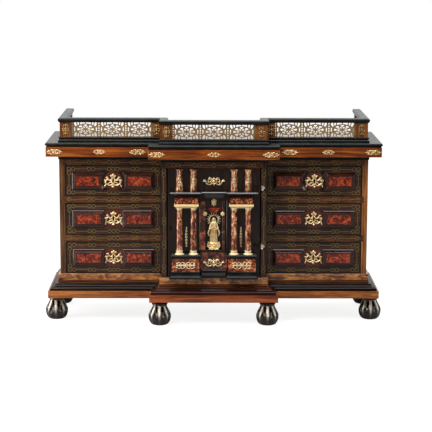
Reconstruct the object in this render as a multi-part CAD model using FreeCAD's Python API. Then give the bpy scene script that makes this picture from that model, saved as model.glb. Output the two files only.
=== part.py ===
import FreeCAD, Part
import math
import os

# A breakfront table cabinet for coins: three drawers in each wing, a columned door in the middle,
# a moulded plinth on six carved ball feet, and a pierced gallery round three sides of the top.
# Millimetres, +Z up, the front faces -Y, and the origin lies on the floor under the middle.

# Case: plan, from the middle outwards and from the origin forwards or backwards
body_half_width = 461.5
centre_half_width = 156.0
wing_front = 82.0
centre_front = 142.0
body_back = 162.0
side_thickness = 16.5
cheek_thickness = 16.0
back_thickness = 10.0
housing_depth = 5.0

# Case: heights, from the floor up
foot_height = 72.0
band_height = 21.5
ogee_height = 19.5
deck_thickness = 28.0
drawer_heights = [98.0, 98.0, 93.0]
rail_height = 20.0
rail_depth = 40.0
top_rail_height = 18.0
top_rail_depth = 30.0
dust_board_thickness = 8.0
top_board_thickness = 12.0
frieze_height = 29.0
slab_thickness = 12.0
shelf_thickness = 10.0

# Plinth: how far each part stands out from the case
band_out = 35.5
ogee_out = 31.0
ogee_top_out = 14.0
fillet_height = 5.0
bead_out = 10.0
bead_height = 8.0
burl_out = 6.0
band_thickness = 10.0
plinth_core_gap_out = 9.0
ogee_bulge = 1.4

# Feet: turned balls gripped by eight claws, with a peg up into the plinth
foot_side_out = 14.0
foot_centre_out = 5.0
foot_wing_set_back = 15.0
foot_centre_forward = 4.0
foot_inset_back = 22.0
ball_radius = 33.5
claw_depth = 5.0
claw_count = 8
foot_peg_radius = 8.0
foot_peg_length = 18.0
foot_peg_sides = 8
peg_clearance = 0.1

# Cornice and top
bed_out = 8.0
bed_foot_out = 2.0
bed_fillet = 2.0
bed_cove_hollow = 2.0
frieze_out = 36.0
frieze_thickness = 18.0
slab_out = 38.0
slab_back_out = 18.0
slab_chamfer = 2.5
slab_foot_inset = 4.0
slab_foot_height = 4.0

# Gallery
gallery_base_height = 16.0
gallery_open_height = 43.5
gallery_top_height = 12.5
gallery_side_inset = 4.5
gallery_centre_out = 1.0
gallery_front_out = 14.0
gallery_post_depth = 16.0
gallery_rail_lip = 5.0
gallery_post_width = 36.0
gallery_inner_post_width = 25.0
gallery_return_post = 20.0
gallery_back_post = 25.0
rail_rounding = 3.0

# Pierced brass panels of the gallery
fret_thickness = 2.0
fret_border = 2.6
fret_motif_length = 79.5
fret_rays = 8
fret_ray_turn = 0.12
fret_hub_radius = 5.0
fret_ring_width = 2.6

# Drawers
drawer_side_clearance = 1.2
drawer_edge_clearance = 1.0
drawer_running_gap = 0.3
drawer_back_clearance = 0.5
drawer_front_thickness = 18.0
drawer_side_thickness = 9.0
drawer_back_thickness = 9.0
drawer_bottom_thickness = 6.0
drawer_bottom_rise = 5.0
drawer_groove_depth = 4.0
drawer_back_drop = 4.0
tail_count = 2
tail_root_half = 11.0
tail_flare = 3.0
tail_length = 12.0

# Raised panels on the drawer fronts
panel_height = 50.0
panel_margin = 22.5
panel_gap = 0.5
panel_bevel = 9.0
panel_rise = 9.0
panel_rim = 2.0
shell_recess = 3.5
shell_thickness = 2.5
boss_radius = 29.0
boss_rise = 6.0
boss_gap = 4.0
shell_boss_gap = 12.0

# Drawer locks: pierced escutcheon in front, lock case let into the back of the front
escutcheon_width = 55.0
escutcheon_height = 44.0
escutcheon_thickness = 2.0
escutcheon_lift = 1.0
keyhole_radius = 2.6
keyhole_sides = 8
keyhole_slot_width = 2.6
keyhole_slot_length = 7.0
lock_width = 38.0
lock_height = 30.0
lock_thickness = 6.0
lock_flange_thickness = 2.0

# Door: a board hung on two iron hinges at its right edge
door_side_gap = 3.5
door_gap = 1.5
door_set_back = 2.0
door_thickness = 20.0
niche_half_width_share = 0.183
niche_sill_rise = 84.0
niche_spring_rise = 182.0
niche_depth = 14.0

# Door: pedestals, columns and entablature. Heights are above the floor of the case
pedestal_base_rise = 2.0
pedestal_die_rise = 23.0
pedestal_cap_rise = 62.5
column_base_rise = 73.5
column_shaft_rise = 86.0
capital_rise = 207.0
entablature_band_rise = 214.0
entablature_block_rise = 225.0
mid_cornice_rise = 242.0
mid_cornice_top_rise = 261.0
pilaster_top_rise = 326.0
pedestal_inner_share = 0.315
pedestal_outer_share = 0.9084
pedestal_reach = 31.0
pedestal_flare = 7.0
pedestal_cap_lip = 3.0
column_inner_share = 0.4396
column_outer_share = 0.7436
column_axis_reach = 18.0
column_radius = 8.3
column_base_radius = 14.0
column_base_disc = 3.5
column_base_collar = 2.5
column_collar_radius = 9.6
capital_radius = 10.5
entablature_inner_share = 0.3443
entablature_outer_share = 0.8425
entablature_reach = 28.0
entablature_lip = 2.0
mid_cornice_inner_share = 0.2784
mid_cornice_outer_share = 0.9524
mid_cornice_reach = 32.0
mid_cornice_centre_reach = 21.0
mid_cornice_fillet = 4.0
mid_cornice_hollow = 2.0
pilaster_radius = 11.0
niche_strip_width_share = 0.1245
niche_strip_thickness = 4.0
niche_strip_gap = 9.0
keystone_rise = 197.0
keystone_height = 14.0
keystone_top_half_width = 18.0
keystone_foot_half_width = 10.0
keystone_thickness = 5.0
sill_height = 6.0
sill_reach = 8.0
lower_panel_rise = 25.5
lower_panel_thickness = 4.0
lower_moulding_reach = 16.0

# Gilt mounts: all are castings of one thickness, pinned flat
mount_thickness = 2.0
frieze_mount_width = 46.0
frieze_mount_height = 16.0
frieze_mount_middle_share = 0.6
frieze_mount_end_inset = 31.0
frieze_mount_inner_inset = 34.0
post_mount_width = 20.0
post_mount_height = 34.0
door_mount_width = 68.0
door_mount_height = 27.0
upper_mount_rise = 290.0
lower_mount_rise = 45.0
pedestal_mount_width = 58.0
pedestal_mount_height = 20.0
keystone_mount_width = 16.0
keystone_mount_height = 27.0
keystone_mount_rise = 227.5
rosette_radius = 7.0
rosette_niche_gap = 1.0
rosette_rise = 193.0
rosette_petals = 8
rosette_dip = 1.6
drop_width = 9.0
drop_height = 58.0
strip_mount_width = 8.0
strip_mount_height = 62.0
strip_mount_rise = 123.0

# Gilt figure in the niche
figure_half_width = 15.0
figure_half_depth = 9.0
figure_fold_depth = 1.2
figure_sides = 10
arm_sides = 6
figure_head_half_width = 4.4
figure_head_height = 12.5
figure_arm_radius = 3.0
figure_hands_z_share = 0.68
figure_hands_reach = 10.0
figure_standoff = 0.5
halo_radius = 13.0
halo_ray_radius = 20.0
halo_rays = 12
halo_thickness = 1.6

# Hinges and door lock
hinge_axis_reach = 2.0
hinge_barrel_radius = 3.2
hinge_pin_radius = 1.5
hinge_pin_clearance = 0.05
hinge_leaf_width = 17.0
hinge_leaf_gap = 4.0
hinge_leaf_thickness = 2.0
hinge_height = 18.0
hinge_knuckle_gap = 0.3
hinge_rises = [86.0, 262.5]
door_lock_width = 30.0
door_lock_height = 40.0
door_lock_thickness = 6.0
door_lock_rise = 151.0
door_keyhole_inset = 9.0

overrun = 60.0
disc_sides = 20
turned_sides = 10
shaft_sides = 16
moulding_steps = 4

# Levels worked out from the heights
band_z = foot_height
ogee_z = band_z + band_height
deck_z = ogee_z + ogee_height
floor_z = deck_z + deck_thickness
drawer_levels = []
level = floor_z
for height in drawer_heights:
    drawer_levels.append((level, level + height))
    level = level + height + rail_height
top_rail_z = drawer_levels[-1][1]
top_board_z = top_rail_z + top_rail_height
frieze_z = top_board_z + top_board_thickness
slab_z = frieze_z + frieze_height
slab_top_z = slab_z + slab_thickness
fret_z = slab_top_z + gallery_base_height
gallery_rail_z = fret_z + gallery_open_height
total_height = gallery_rail_z + gallery_top_height

# Places worked out from the plan
foot_side_x = body_half_width + foot_side_out
foot_centre_x = centre_half_width + foot_centre_out
slab_back = body_back + slab_back_out
gallery_half_width = body_half_width - gallery_side_inset
gallery_centre_half_width = centre_half_width + gallery_centre_out
gallery_wing_front = wing_front + gallery_front_out
gallery_centre_front = centre_front + gallery_front_out
frieze_mount_middle_x = centre_half_width + (body_half_width - centre_half_width) * frieze_mount_middle_share
wing_outer_x = body_half_width - side_thickness
door_opening_half_width = centre_half_width - cheek_thickness
back_board_y = body_back - back_thickness
door_face_y = -(centre_front - door_set_back)
door_half_width = door_opening_half_width - door_side_gap
hinge_axis_x = door_opening_half_width - hinge_barrel_radius
panel_inner_edge = escutcheon_width / 2 + panel_gap
panel_width = (wing_outer_x - centre_half_width) / 2 - panel_margin - panel_inner_edge
panel_offset = panel_inner_edge + panel_width / 2

# Places on the door, from the floor of the case and from the width of the door
niche_sill_z = floor_z + niche_sill_rise
niche_spring_z = floor_z + niche_spring_rise
pedestal_base_z = floor_z + pedestal_base_rise
pedestal_die_z = floor_z + pedestal_die_rise
pedestal_cap_z = floor_z + pedestal_cap_rise
column_base_z = floor_z + column_base_rise
column_shaft_z = floor_z + column_shaft_rise
capital_z = floor_z + capital_rise
entablature_band_z = floor_z + entablature_band_rise
entablature_block_z = floor_z + entablature_block_rise
mid_cornice_z = floor_z + mid_cornice_rise
mid_cornice_top_z = floor_z + mid_cornice_top_rise
pilaster_top_z = floor_z + pilaster_top_rise
keystone_z = floor_z + keystone_rise
lower_panel_z = floor_z + lower_panel_rise
upper_mount_z = floor_z + upper_mount_rise
lower_mount_z = floor_z + lower_mount_rise
keystone_mount_z = floor_z + keystone_mount_rise
rosette_z = floor_z + rosette_rise
strip_mount_z = floor_z + strip_mount_rise
door_lock_z = floor_z + door_lock_rise
niche_half_width = door_half_width * niche_half_width_share
niche_strip_width = door_half_width * niche_strip_width_share
pedestal_inner_x = door_half_width * pedestal_inner_share
pedestal_outer_x = door_half_width * pedestal_outer_share
column_inner_x = door_half_width * column_inner_share
column_outer_x = door_half_width * column_outer_share
entablature_inner_x = door_half_width * entablature_inner_share
entablature_outer_x = door_half_width * entablature_outer_share
mid_cornice_inner_x = door_half_width * mid_cornice_inner_share
mid_cornice_outer_x = door_half_width * mid_cornice_outer_share
niche_strip_top_z = mid_cornice_z - niche_strip_gap
figure_height = niche_spring_z - niche_sill_z
rosette_x = niche_half_width + rosette_niche_gap


def vector(x, y, z):
    return FreeCAD.Vector(x, y, z)


def box(x0, x1, y0, y1, z0, z1):
    """Block between two corners"""
    return Part.makeBox(x1 - x0, y1 - y0, z1 - z0, vector(x0, y0, z0))


def polygon_face(corners):
    return Part.Face(Part.makePolygon(corners + corners[:1]))


def plan_prism(points, z0, z1):
    """Block over a polygon drawn in the plan"""
    return polygon_face([vector(x, y, z0) for x, y in points]).extrude(vector(0, 0, z1 - z0))


def front_prism(points, y_back, thickness):
    """Block over a polygon drawn in the front view, standing forward of y_back"""
    return polygon_face([vector(x, y_back, z) for x, z in points]).extrude(vector(0, -thickness, 0))


def side_prism(points, x0, x1):
    """Block over a polygon of depths and heights drawn in the side view"""
    return polygon_face([vector(x0, y, z) for y, z in points]).extrude(vector(x1 - x0, 0, 0))


def bowed(start, end, bulge, steps):
    """Points from start to end, standing off the straight line by the bulge half way along"""
    along = (end[0] - start[0], end[1] - start[1])
    length = math.hypot(*along)
    points = []
    for number in range(steps + 1):
        share = number / steps
        off = bulge * math.sin(math.pi * share) / length
        points.append((start[0] + along[0] * share + along[1] * off,
                       start[1] + along[1] * share - along[0] * off))
    return points


def circle(x, z, radius, sides):
    """Corners of a many-sided circle"""
    turns = [2 * math.pi * number / sides for number in range(sides)]
    return [(x + radius * math.cos(turn), z + radius * math.sin(turn)) for turn in turns]


def carved(rings):
    """Solid of flat triangles between closed rings of corners, from the lowest ring up"""
    faces = [polygon_face(rings[0]), polygon_face(rings[-1])]
    for lower, upper in zip(rings, rings[1:]):
        for number in range(len(lower)):
            after = (number + 1) % len(lower)
            if number % 2:
                halves = [[lower[number], lower[after], upper[after]],
                          [lower[number], upper[after], upper[number]]]
            else:
                halves = [[lower[number], lower[after], upper[number]],
                          [lower[after], upper[after], upper[number]]]
            faces += [polygon_face(half) for half in halves]
    return Part.makeSolid(Part.makeShell(faces))


def oval_ring(x, y, z, half_width, half_depth, groove, count):
    """Ring of corners on an oval, every other corner drawn in by the groove"""
    ring = []
    for number in range(count):
        turn = 2 * math.pi * number / count
        inset = groove if number % 2 else 0
        ring.append(vector(x + (half_width - inset) * math.cos(turn),
                           y + (half_depth - inset) * math.sin(turn), z))
    return ring


def turned(sections, x, y, sides):
    """Turned piece on an upright axis, from its sections of radius and height, from the lowest up"""
    return carved([oval_ring(x, y, z, radius, radius, 0, sides) for radius, z in sections])


def rod(radius, x, y, z0, z1):
    return Part.makeCylinder(radius, z1 - z0, vector(x, y, z0))


def disc(radius, x, z, y_back, length):
    """Round plug that runs forward from y_back"""
    return front_prism(circle(x, z, radius, disc_sides), y_back, length)


def raised_block(x, z, width, height, y_back, rise, bevel):
    """Block standing forward of y_back with all four edges bevelled"""
    back_x, back_z = width / 2, height / 2
    front_x, front_z = back_x - bevel, back_z - bevel
    return Part.makeWedge(x - front_x, y_back - rise, z - front_z, z - back_z, x - back_x,
                          x + front_x, y_back, z + front_z, z + back_z, x + back_x)


def flared_block(x0, x1, y_back, reach, z0, z1, flare):
    """Block standing forward of y_back, wider at its foot by the flare on three sides"""
    wedge = Part.makeWedge(x0 - flare, z0, -y_back, -y_back, x0,
                           x1 + flare, z1, -y_back + reach + flare, -y_back + reach, x1)
    return wedge.rotated(vector(0, 0, 0), vector(1, 0, 0), 90)


def plan_corners(out, back):
    """Corners of the breakfront plan grown by out, from the back left round the front"""
    side = body_half_width + out
    inner = centre_half_width + out
    wing = -(wing_front + out)
    centre = -(centre_front + out)
    return [(-side, back), (-side, wing), (-inner, wing), (-inner, centre),
            (inner, centre), (inner, wing), (side, wing), (side, back)]


def mitred_lengths(section, inner_out, outer_out, back):
    """One moulding round the sides and front, as straight lengths mitred at each corner"""
    outline = plan_corners(0, back)
    inside = plan_corners(inner_out, back)
    outside = plan_corners(outer_out, back)
    heights = [height for out, height in section]
    lengths = []
    for first in range(len(outline) - 1):
        start = vector(*outline[first], 0)
        along = vector(*outline[first + 1], 0) - start
        length = along.Length
        along.normalize()
        outwards = vector(along.y, -along.x, 0)
        begin = start - along * overrun
        corners = [begin + outwards * out + vector(0, 0, height) for out, height in section]
        bar = polygon_face(corners).extrude(along * (length + 2 * overrun))
        mitre = [inside[first], inside[first + 1], outside[first + 1], outside[first]]
        lengths.append(bar.common(plan_prism(mitre, min(heights), max(heights))).Solids[0])
    return lengths


def mirrored_pair(solid):
    """The solid and its mirror image across the middle of the cabinet"""
    return [solid, solid.mirror(vector(0, 0, 0), vector(1, 0, 0))]


def save(node, solids):
    Part.makeCompound(solids).exportStep("parts/" + node + ".step")


# Feet

# Sections of a foot, from the floor up, as shares: height, radius over the ridges, depth of the grooves
foot_section_shares = [(0.0, 0.58, 0.0), (0.1, 0.84, 0.0), (0.28, 1.0, 0.3), (0.6, 0.9, 1.0),
                       (0.78, 0.7, 0.8), (0.86, 0.52, 0.0), (1.0, 0.52, 0.0)]


def foot_peg(clearance, x, y, z):
    """Eight-sided peg that holds a foot, or with a clearance the socket for it"""
    corners = circle(x, y, foot_peg_radius + clearance, foot_peg_sides)
    return plan_prism(corners, z, z + foot_peg_length)


def carved_foot():
    """Ball gripped by carved claws, with a collar above and a peg into the plinth"""
    rings = []
    for height_share, radius_share, groove_share in foot_section_shares:
        radius = ball_radius * radius_share
        rings.append(oval_ring(0, 0, foot_height * height_share, radius, radius, claw_depth * groove_share,
                               2 * claw_count))
    return carved(rings).fuse(foot_peg(0, 0, 0, foot_height))


def foot_places():
    front = -(wing_front - foot_wing_set_back)
    centre = -(centre_front + foot_centre_forward)
    back = body_back - foot_inset_back
    right = [(foot_side_x, front), (foot_centre_x, centre), (foot_side_x, back)]
    return [(side * x, y) for side in (-1, 1) for x, y in right]


def feet():
    foot = carved_foot().Solids[0]
    return [foot.translated(vector(x, y, 0)) for x, y in foot_places()]


# Plinth

def plinth_core():
    """Two softwood boards that carry the plinth mouldings and take the pegs of the feet"""
    lower = plan_prism(plan_corners(band_out - band_thickness, body_back), band_z, ogee_z)
    for x, y in foot_places():
        lower = lower.cut(foot_peg(peg_clearance, x, y, band_z))
    upper = plan_prism(plan_corners(plinth_core_gap_out, body_back), ogee_z, deck_z)
    return [lower, upper]


def plinth_band():
    inner = band_out - band_thickness
    section = [(inner, band_z), (band_out, band_z), (band_out, ogee_z), (inner, ogee_z)]
    return mitred_lengths(section, inner, band_out, body_back)


def plinth_ogee():
    """Black moulding, round below and hollow above, with a square fillet on top"""
    inner = plinth_core_gap_out
    fillet_z = deck_z - fillet_height
    middle = ((ogee_out + ogee_top_out) / 2, (ogee_z + fillet_z) / 2)
    round_part = bowed((ogee_out, ogee_z), middle, ogee_bulge, moulding_steps)
    hollow_part = bowed(middle, (ogee_top_out, fillet_z), -ogee_bulge, moulding_steps)
    section = [(inner, ogee_z)] + round_part + hollow_part[1:] + [(ogee_top_out, deck_z), (inner, deck_z)]
    return mitred_lengths(section, inner, ogee_out, body_back)


def plinth_burl():
    """Burr veneered facing of the deck, with a bead along its foot"""
    bead = bowed((burl_out, deck_z), (burl_out, deck_z + bead_height), bead_out - burl_out, moulding_steps)
    section = [(0, deck_z)] + bead + [(burl_out, floor_z - door_gap), (0, floor_z)]
    return mitred_lengths(section, 0, bead_out, body_back)


# Case

def wing_boxes(z0, z1, y0, y1, housing):
    """The same board across each wing, let into its neighbours by the housing"""
    board = box(centre_half_width - housing, wing_outer_x + housing, y0, y1, z0, z1)
    return mirrored_pair(board)


def drawer_rails():
    rails = []
    for lower, upper in drawer_levels[:-1]:
        rails += wing_boxes(upper, upper + rail_height, -wing_front, rail_depth - wing_front, housing_depth)
    rails += wing_boxes(top_rail_z, top_board_z, -wing_front, top_rail_depth - wing_front, housing_depth)
    rails.append(box(-door_opening_half_width - housing_depth, door_opening_half_width + housing_depth,
                     -centre_front, top_rail_depth - centre_front, top_rail_z, top_board_z))
    return rails


def dust_boards():
    boards = []
    for lower, upper in drawer_levels[:-1]:
        top = upper + rail_height
        boards += wing_boxes(top - dust_board_thickness, top, rail_depth - wing_front, back_board_y,
                             housing_depth)
    return boards


def centre_shelf():
    z = drawer_levels[1][0]
    reach = door_opening_half_width + housing_depth
    front = door_face_y + door_thickness + door_gap
    return [box(-reach, reach, front, back_board_y, z - shelf_thickness, z)]


def housed(board, inserts):
    """Board with a housing cut for each piece let into it"""
    for insert in inserts:
        board = board.cut(insert)
    return board


def side_board(side):
    board = box(wing_outer_x, body_half_width, -wing_front, body_back, floor_z, top_board_z)
    return housed(mirrored_pair(board)[side], drawer_rails() + dust_boards())


def cheek(side):
    board = box(door_opening_half_width, centre_half_width, -centre_front, back_board_y, floor_z, top_board_z)
    return housed(mirrored_pair(board)[side], drawer_rails() + dust_boards() + centre_shelf())


def top_slab():
    """Moulded top, chamfered above and stepped back below along the front and sides"""
    foot = plan_prism(plan_corners(slab_out - slab_foot_inset, slab_back), slab_z, slab_z + slab_foot_height)
    board = plan_prism(plan_corners(slab_out, slab_back), slab_z + slab_foot_height, slab_top_z)
    edges = []
    for edge in board.Edges:
        middle = edge.CenterOfMass
        at_back = abs(middle.y - slab_back) < slab_chamfer
        if abs(middle.z - slab_top_z) < slab_chamfer and not at_back:
            edges.append(edge)
    return [foot.fuse(board.makeChamfer(slab_chamfer, edges)).removeSplitter()]


def bed_mould():
    """Small cove under the frieze"""
    cove = bowed((bed_foot_out, top_board_z + bed_fillet), (bed_out, frieze_z - bed_fillet), -bed_cove_hollow,
                 moulding_steps)
    section = [(0, top_board_z), (bed_foot_out, top_board_z)] + cove + [(bed_out, frieze_z), (0, frieze_z)]
    return mitred_lengths(section, 0, bed_out, body_back)


def cornice_core():
    """Softwood board that carries the frieze and the top"""
    return [plan_prism(plan_corners(frieze_out - frieze_thickness, body_back), frieze_z, slab_z)]


def frieze():
    inner = frieze_out - frieze_thickness
    section = [(inner, frieze_z), (frieze_out, frieze_z), (frieze_out, slab_z), (inner, slab_z)]
    return mitred_lengths(section, inner, frieze_out, body_back)


# Gallery

def gallery_path(lip, front_lip):
    """Outer outline of the gallery, grown by the lips"""
    side = gallery_half_width + lip
    inner = gallery_centre_half_width + lip
    wing = -(gallery_wing_front + front_lip)
    centre = -(gallery_centre_front + front_lip)
    return [(-side, slab_back), (-side, wing), (-inner, wing), (-inner, centre),
            (inner, centre), (inner, wing), (side, wing), (side, slab_back)]


def gallery_rail(z0, z1):
    """Rail round three sides, one straight length for each run, mitred at the corners"""
    outside = gallery_path(gallery_rail_lip, gallery_rail_lip)
    inside = gallery_path(-gallery_post_depth - gallery_rail_lip, -gallery_post_depth - gallery_rail_lip)
    rails = []
    for first in range(len(outside) - 1):
        mitred = [inside[first], inside[first + 1], outside[first + 1], outside[first]]
        rails.append(plan_prism(mitred, z0, z1))
    return rails


def gallery_top_rail():
    """Top rail with its upper long edges eased"""
    rails = []
    for rail in gallery_rail(gallery_rail_z, total_height):
        top = [edge for edge in rail.Edges if abs(edge.CenterOfMass.z - total_height) < rail_rounding]
        longest = sorted(top, key=lambda edge: edge.Length)[-2:]
        rails.append(rail.makeChamfer(rail_rounding, longest))
    return rails


def gallery_posts():
    """Blocks between the rails: corners, ends beside the middle, and the short returns"""
    side, inner = gallery_half_width, gallery_centre_half_width
    wing, centre, depth = -gallery_wing_front, -gallery_centre_front, gallery_post_depth
    width = gallery_post_width
    corner = [(side - width, wing), (side, wing), (side, wing + depth + gallery_return_post),
              (side - depth, wing + depth + gallery_return_post), (side - depth, wing + depth),
              (side - width, wing + depth)]
    middle = [(inner - width, centre), (inner, centre), (inner, wing + depth), (inner - depth, wing + depth),
              (inner - depth, centre + depth), (inner - width, centre + depth)]
    beside = [(inner, wing), (inner + gallery_inner_post_width, wing),
              (inner + gallery_inner_post_width, wing + depth), (inner, wing + depth)]
    end = [(side - depth, slab_back - gallery_back_post), (side, slab_back - gallery_back_post),
           (side, slab_back), (side - depth, slab_back)]
    posts = []
    for points in (corner, middle, beside, end):
        posts += mirrored_pair(plan_prism(points, fret_z, gallery_rail_z))
    return posts


def fret_star(centre, half_length, half_height):
    """Openings between the rays of one star, reaching out to an oval ring"""
    far_length = half_length - fret_border
    far_height = half_height - fret_border - fret_ring_width
    step = 2 * math.pi / fret_rays
    openings = []
    for number in range(fret_rays):
        middle = step * (number + 1 / 2)
        points = [(centre + fret_hub_radius * math.cos(middle), fret_hub_radius * math.sin(middle))]
        for turn in (middle + step / 2 - fret_ray_turn, middle - step / 2 + fret_ray_turn):
            points.append((centre + far_length * math.cos(turn), far_height * math.sin(turn)))
        openings.append(points)
    return openings


def fret_spandrels(x, half_length, half_height):
    """Openings above and below the place where two ovals meet"""
    reach = half_length / 2 - fret_ring_width
    edge = half_height - fret_border
    foot = half_height / 2 - fret_ring_width
    return [[(x - reach, side * edge), (x + reach, side * edge), (x, side * foot)] for side in (-1, 1)]


def fret_panel(length):
    """Pierced brass panel lying along X, its middle at the origin"""
    half_height = gallery_open_height / 2
    motifs = max(1, round(length / fret_motif_length))
    half_length = length / motifs / 2
    outlines = [[(-length / 2, -half_height), (length / 2, -half_height), (length / 2, half_height),
                 (-length / 2, half_height)]]
    for number in range(motifs):
        centre = -length / 2 + half_length * (2 * number + 1)
        outlines += fret_star(centre, half_length, half_height)
        if number:
            outlines += fret_spandrels(centre - half_length, half_length, half_height)
    corners = [[vector(a, fret_thickness / 2, b) for a, b in outline] for outline in outlines]
    faces = [polygon_face(points) for points in corners]
    sheet = faces[0].cut(Part.makeCompound(faces[1:]))
    return sheet.extrude(vector(0, -fret_thickness, 0)).Solids[0]


def gallery_frets():
    middle_z = fret_z + gallery_open_height / 2
    inset = gallery_post_depth / 2
    centre_length = 2 * (gallery_centre_half_width - gallery_post_width)
    panels = [fret_panel(centre_length).translated(vector(0, inset - gallery_centre_front, middle_z))]
    inner = gallery_centre_half_width + gallery_inner_post_width
    outer = gallery_half_width - gallery_post_width
    wing = fret_panel(outer - inner)
    wing = wing.translated(vector((inner + outer) / 2, inset - gallery_wing_front, middle_z))
    front = gallery_post_depth + gallery_return_post - gallery_wing_front
    back = slab_back - gallery_back_post
    side = fret_panel(back - front).rotated(vector(0, 0, 0), vector(0, 0, 1), 90)
    side = side.translated(vector(gallery_half_width - inset, (front + back) / 2, middle_z))
    return panels + mirrored_pair(wing) + mirrored_pair(side)


# Gilt castings: half outlines as shares of the width and height, from the top down the right side

leaf_shares = [(0.0, 0.5), (0.07, 0.2), (0.22, 0.38), (0.3, 0.12), (0.5, 0.0),
               (0.3, -0.14), (0.2, -0.4), (0.0, -0.5)]
cartouche_shares = [(0.0, 0.5), (0.1, 0.34), (0.22, 0.42), (0.32, 0.12), (0.5, 0.06),
                    (0.26, -0.28), (0.0, -0.5)]
upright_shares = [(0.0, 0.5), (0.5, 0.34), (0.28, 0.16), (0.5, 0.0),
                  (0.28, -0.16), (0.5, -0.34), (0.0, -0.5)]
strapwork_shares = [(0.0, 0.5), (0.2, 0.34), (0.4, 0.5), (0.5, 0.2), (0.44, 0.0),
                    (0.5, -0.2), (0.4, -0.5), (0.2, -0.34), (0.0, -0.5)]
drop_shares = [(0.0, 0.5), (0.5, 0.36), (0.22, 0.24), (0.5, 0.0),
               (0.2, -0.2), (0.36, -0.36), (0.0, -0.5)]
escutcheon_shares = [(0.0, 0.5), (0.1, 0.38), (0.14, 0.18), (0.3, 0.26), (0.36, 0.0), (0.5, -0.16),
                     (0.5, -0.44), (0.3, -0.24), (0.14, -0.38), (0.0, -0.42)]
escutcheon_opening_shares = [(0.12, -0.02), (0.26, 0.08), (0.22, -0.22)]


def casting(half_shares, width, height, x, z, y_back, thickness):
    """Flat casting with a symmetrical outline, fixed on a face at y_back"""
    half = [(share_x * width, share_z * height) for share_x, share_z in half_shares]
    mirrored = [(-a, b) for a, b in reversed(half[1:-1])]
    return front_prism([(x + a, z + b) for a, b in half + mirrored], y_back, thickness)


def keyhole(x, z, y_back, length):
    """Round head over a slot, to be cut out"""
    head = circle(x, z, keyhole_radius, keyhole_sides)
    slot = box(x - keyhole_slot_width / 2, x + keyhole_slot_width / 2, y_back - length, y_back,
               z - keyhole_slot_length, z)
    return front_prism(head, y_back, length).fuse(slot)


def escutcheon(x, z, y_back):
    """Openwork escutcheon with a keyhole and an opening each side"""
    plate = casting(escutcheon_shares, escutcheon_width, escutcheon_height, x, z, y_back,
                    escutcheon_thickness)
    for side in (-1, 1):
        points = [(x + side * a * escutcheon_width, z + b * escutcheon_height)
                  for a, b in escutcheon_opening_shares]
        plate = plate.cut(front_prism(points, y_back, escutcheon_thickness))
    return plate.cut(keyhole(x, z, y_back, escutcheon_thickness))


def gilt_mounts():
    """Mounts of the frieze and of the gallery posts"""
    mounts = []
    z = frieze_z + frieze_height / 2
    wing_face = -(wing_front + frieze_out)
    centre_face = -(centre_front + frieze_out)
    wing_places = [frieze_mount_middle_x, body_half_width + frieze_out - frieze_mount_end_inset,
                   centre_half_width + frieze_out + frieze_mount_inner_inset]
    for x in wing_places:
        mounts += mirrored_pair(casting(leaf_shares, frieze_mount_width, frieze_mount_height, x, z,
                                        wing_face, mount_thickness))
    centre_end = centre_half_width + frieze_out - frieze_mount_end_inset
    mounts += mirrored_pair(casting(leaf_shares, frieze_mount_width, frieze_mount_height, centre_end, z,
                                    centre_face, mount_thickness))
    mounts.append(casting(leaf_shares, frieze_mount_width, frieze_mount_height, 0, z, centre_face,
                          mount_thickness))
    post_z = fret_z + gallery_open_height / 2
    post_places = [(gallery_half_width - gallery_post_width / 2, gallery_wing_front),
                   (gallery_centre_half_width + gallery_inner_post_width / 2, gallery_wing_front),
                   (gallery_centre_half_width - gallery_post_width / 2, gallery_centre_front)]
    for x, front in post_places:
        mounts += mirrored_pair(casting(upright_shares, post_mount_width, post_mount_height, x, post_z,
                                        -front, mount_thickness))
    return mounts


# Drawers

def drawer_space(side, row):
    """Opening of a drawer: its left, right, lower and upper limits"""
    ends = sorted((side * centre_half_width, side * wing_outer_x))
    return ends[0], ends[1], drawer_levels[row][0], drawer_levels[row][1]


def drawer_side(x0, x1, z0, z1, tails_from, tails_to):
    """Drawer side with dovetails for the front and the back"""
    front_root = drawer_front_thickness - wing_front
    front_tip = front_root - tail_length
    rear_tip = back_board_y - drawer_back_clearance
    rear_root = rear_tip - drawer_back_thickness
    pitch = (tails_to - tails_from) / tail_count
    centres = [tails_from + pitch * (number + 1 / 2) for number in range(tail_count)]
    tip_half = tail_root_half + tail_flare
    points = [(front_root, z0)]
    for centre in centres:
        points += [(front_root, centre - tail_root_half), (front_tip, centre - tip_half),
                   (front_tip, centre + tip_half), (front_root, centre + tail_root_half)]
    points += [(front_root, z1), (rear_root, z1)]
    for centre in reversed(centres):
        points += [(rear_root, centre + tail_root_half), (rear_tip, centre + tip_half),
                   (rear_tip, centre - tip_half), (rear_root, centre - tail_root_half)]
    points.append((rear_root, z0))
    return side_prism(points, x0, x1)


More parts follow.
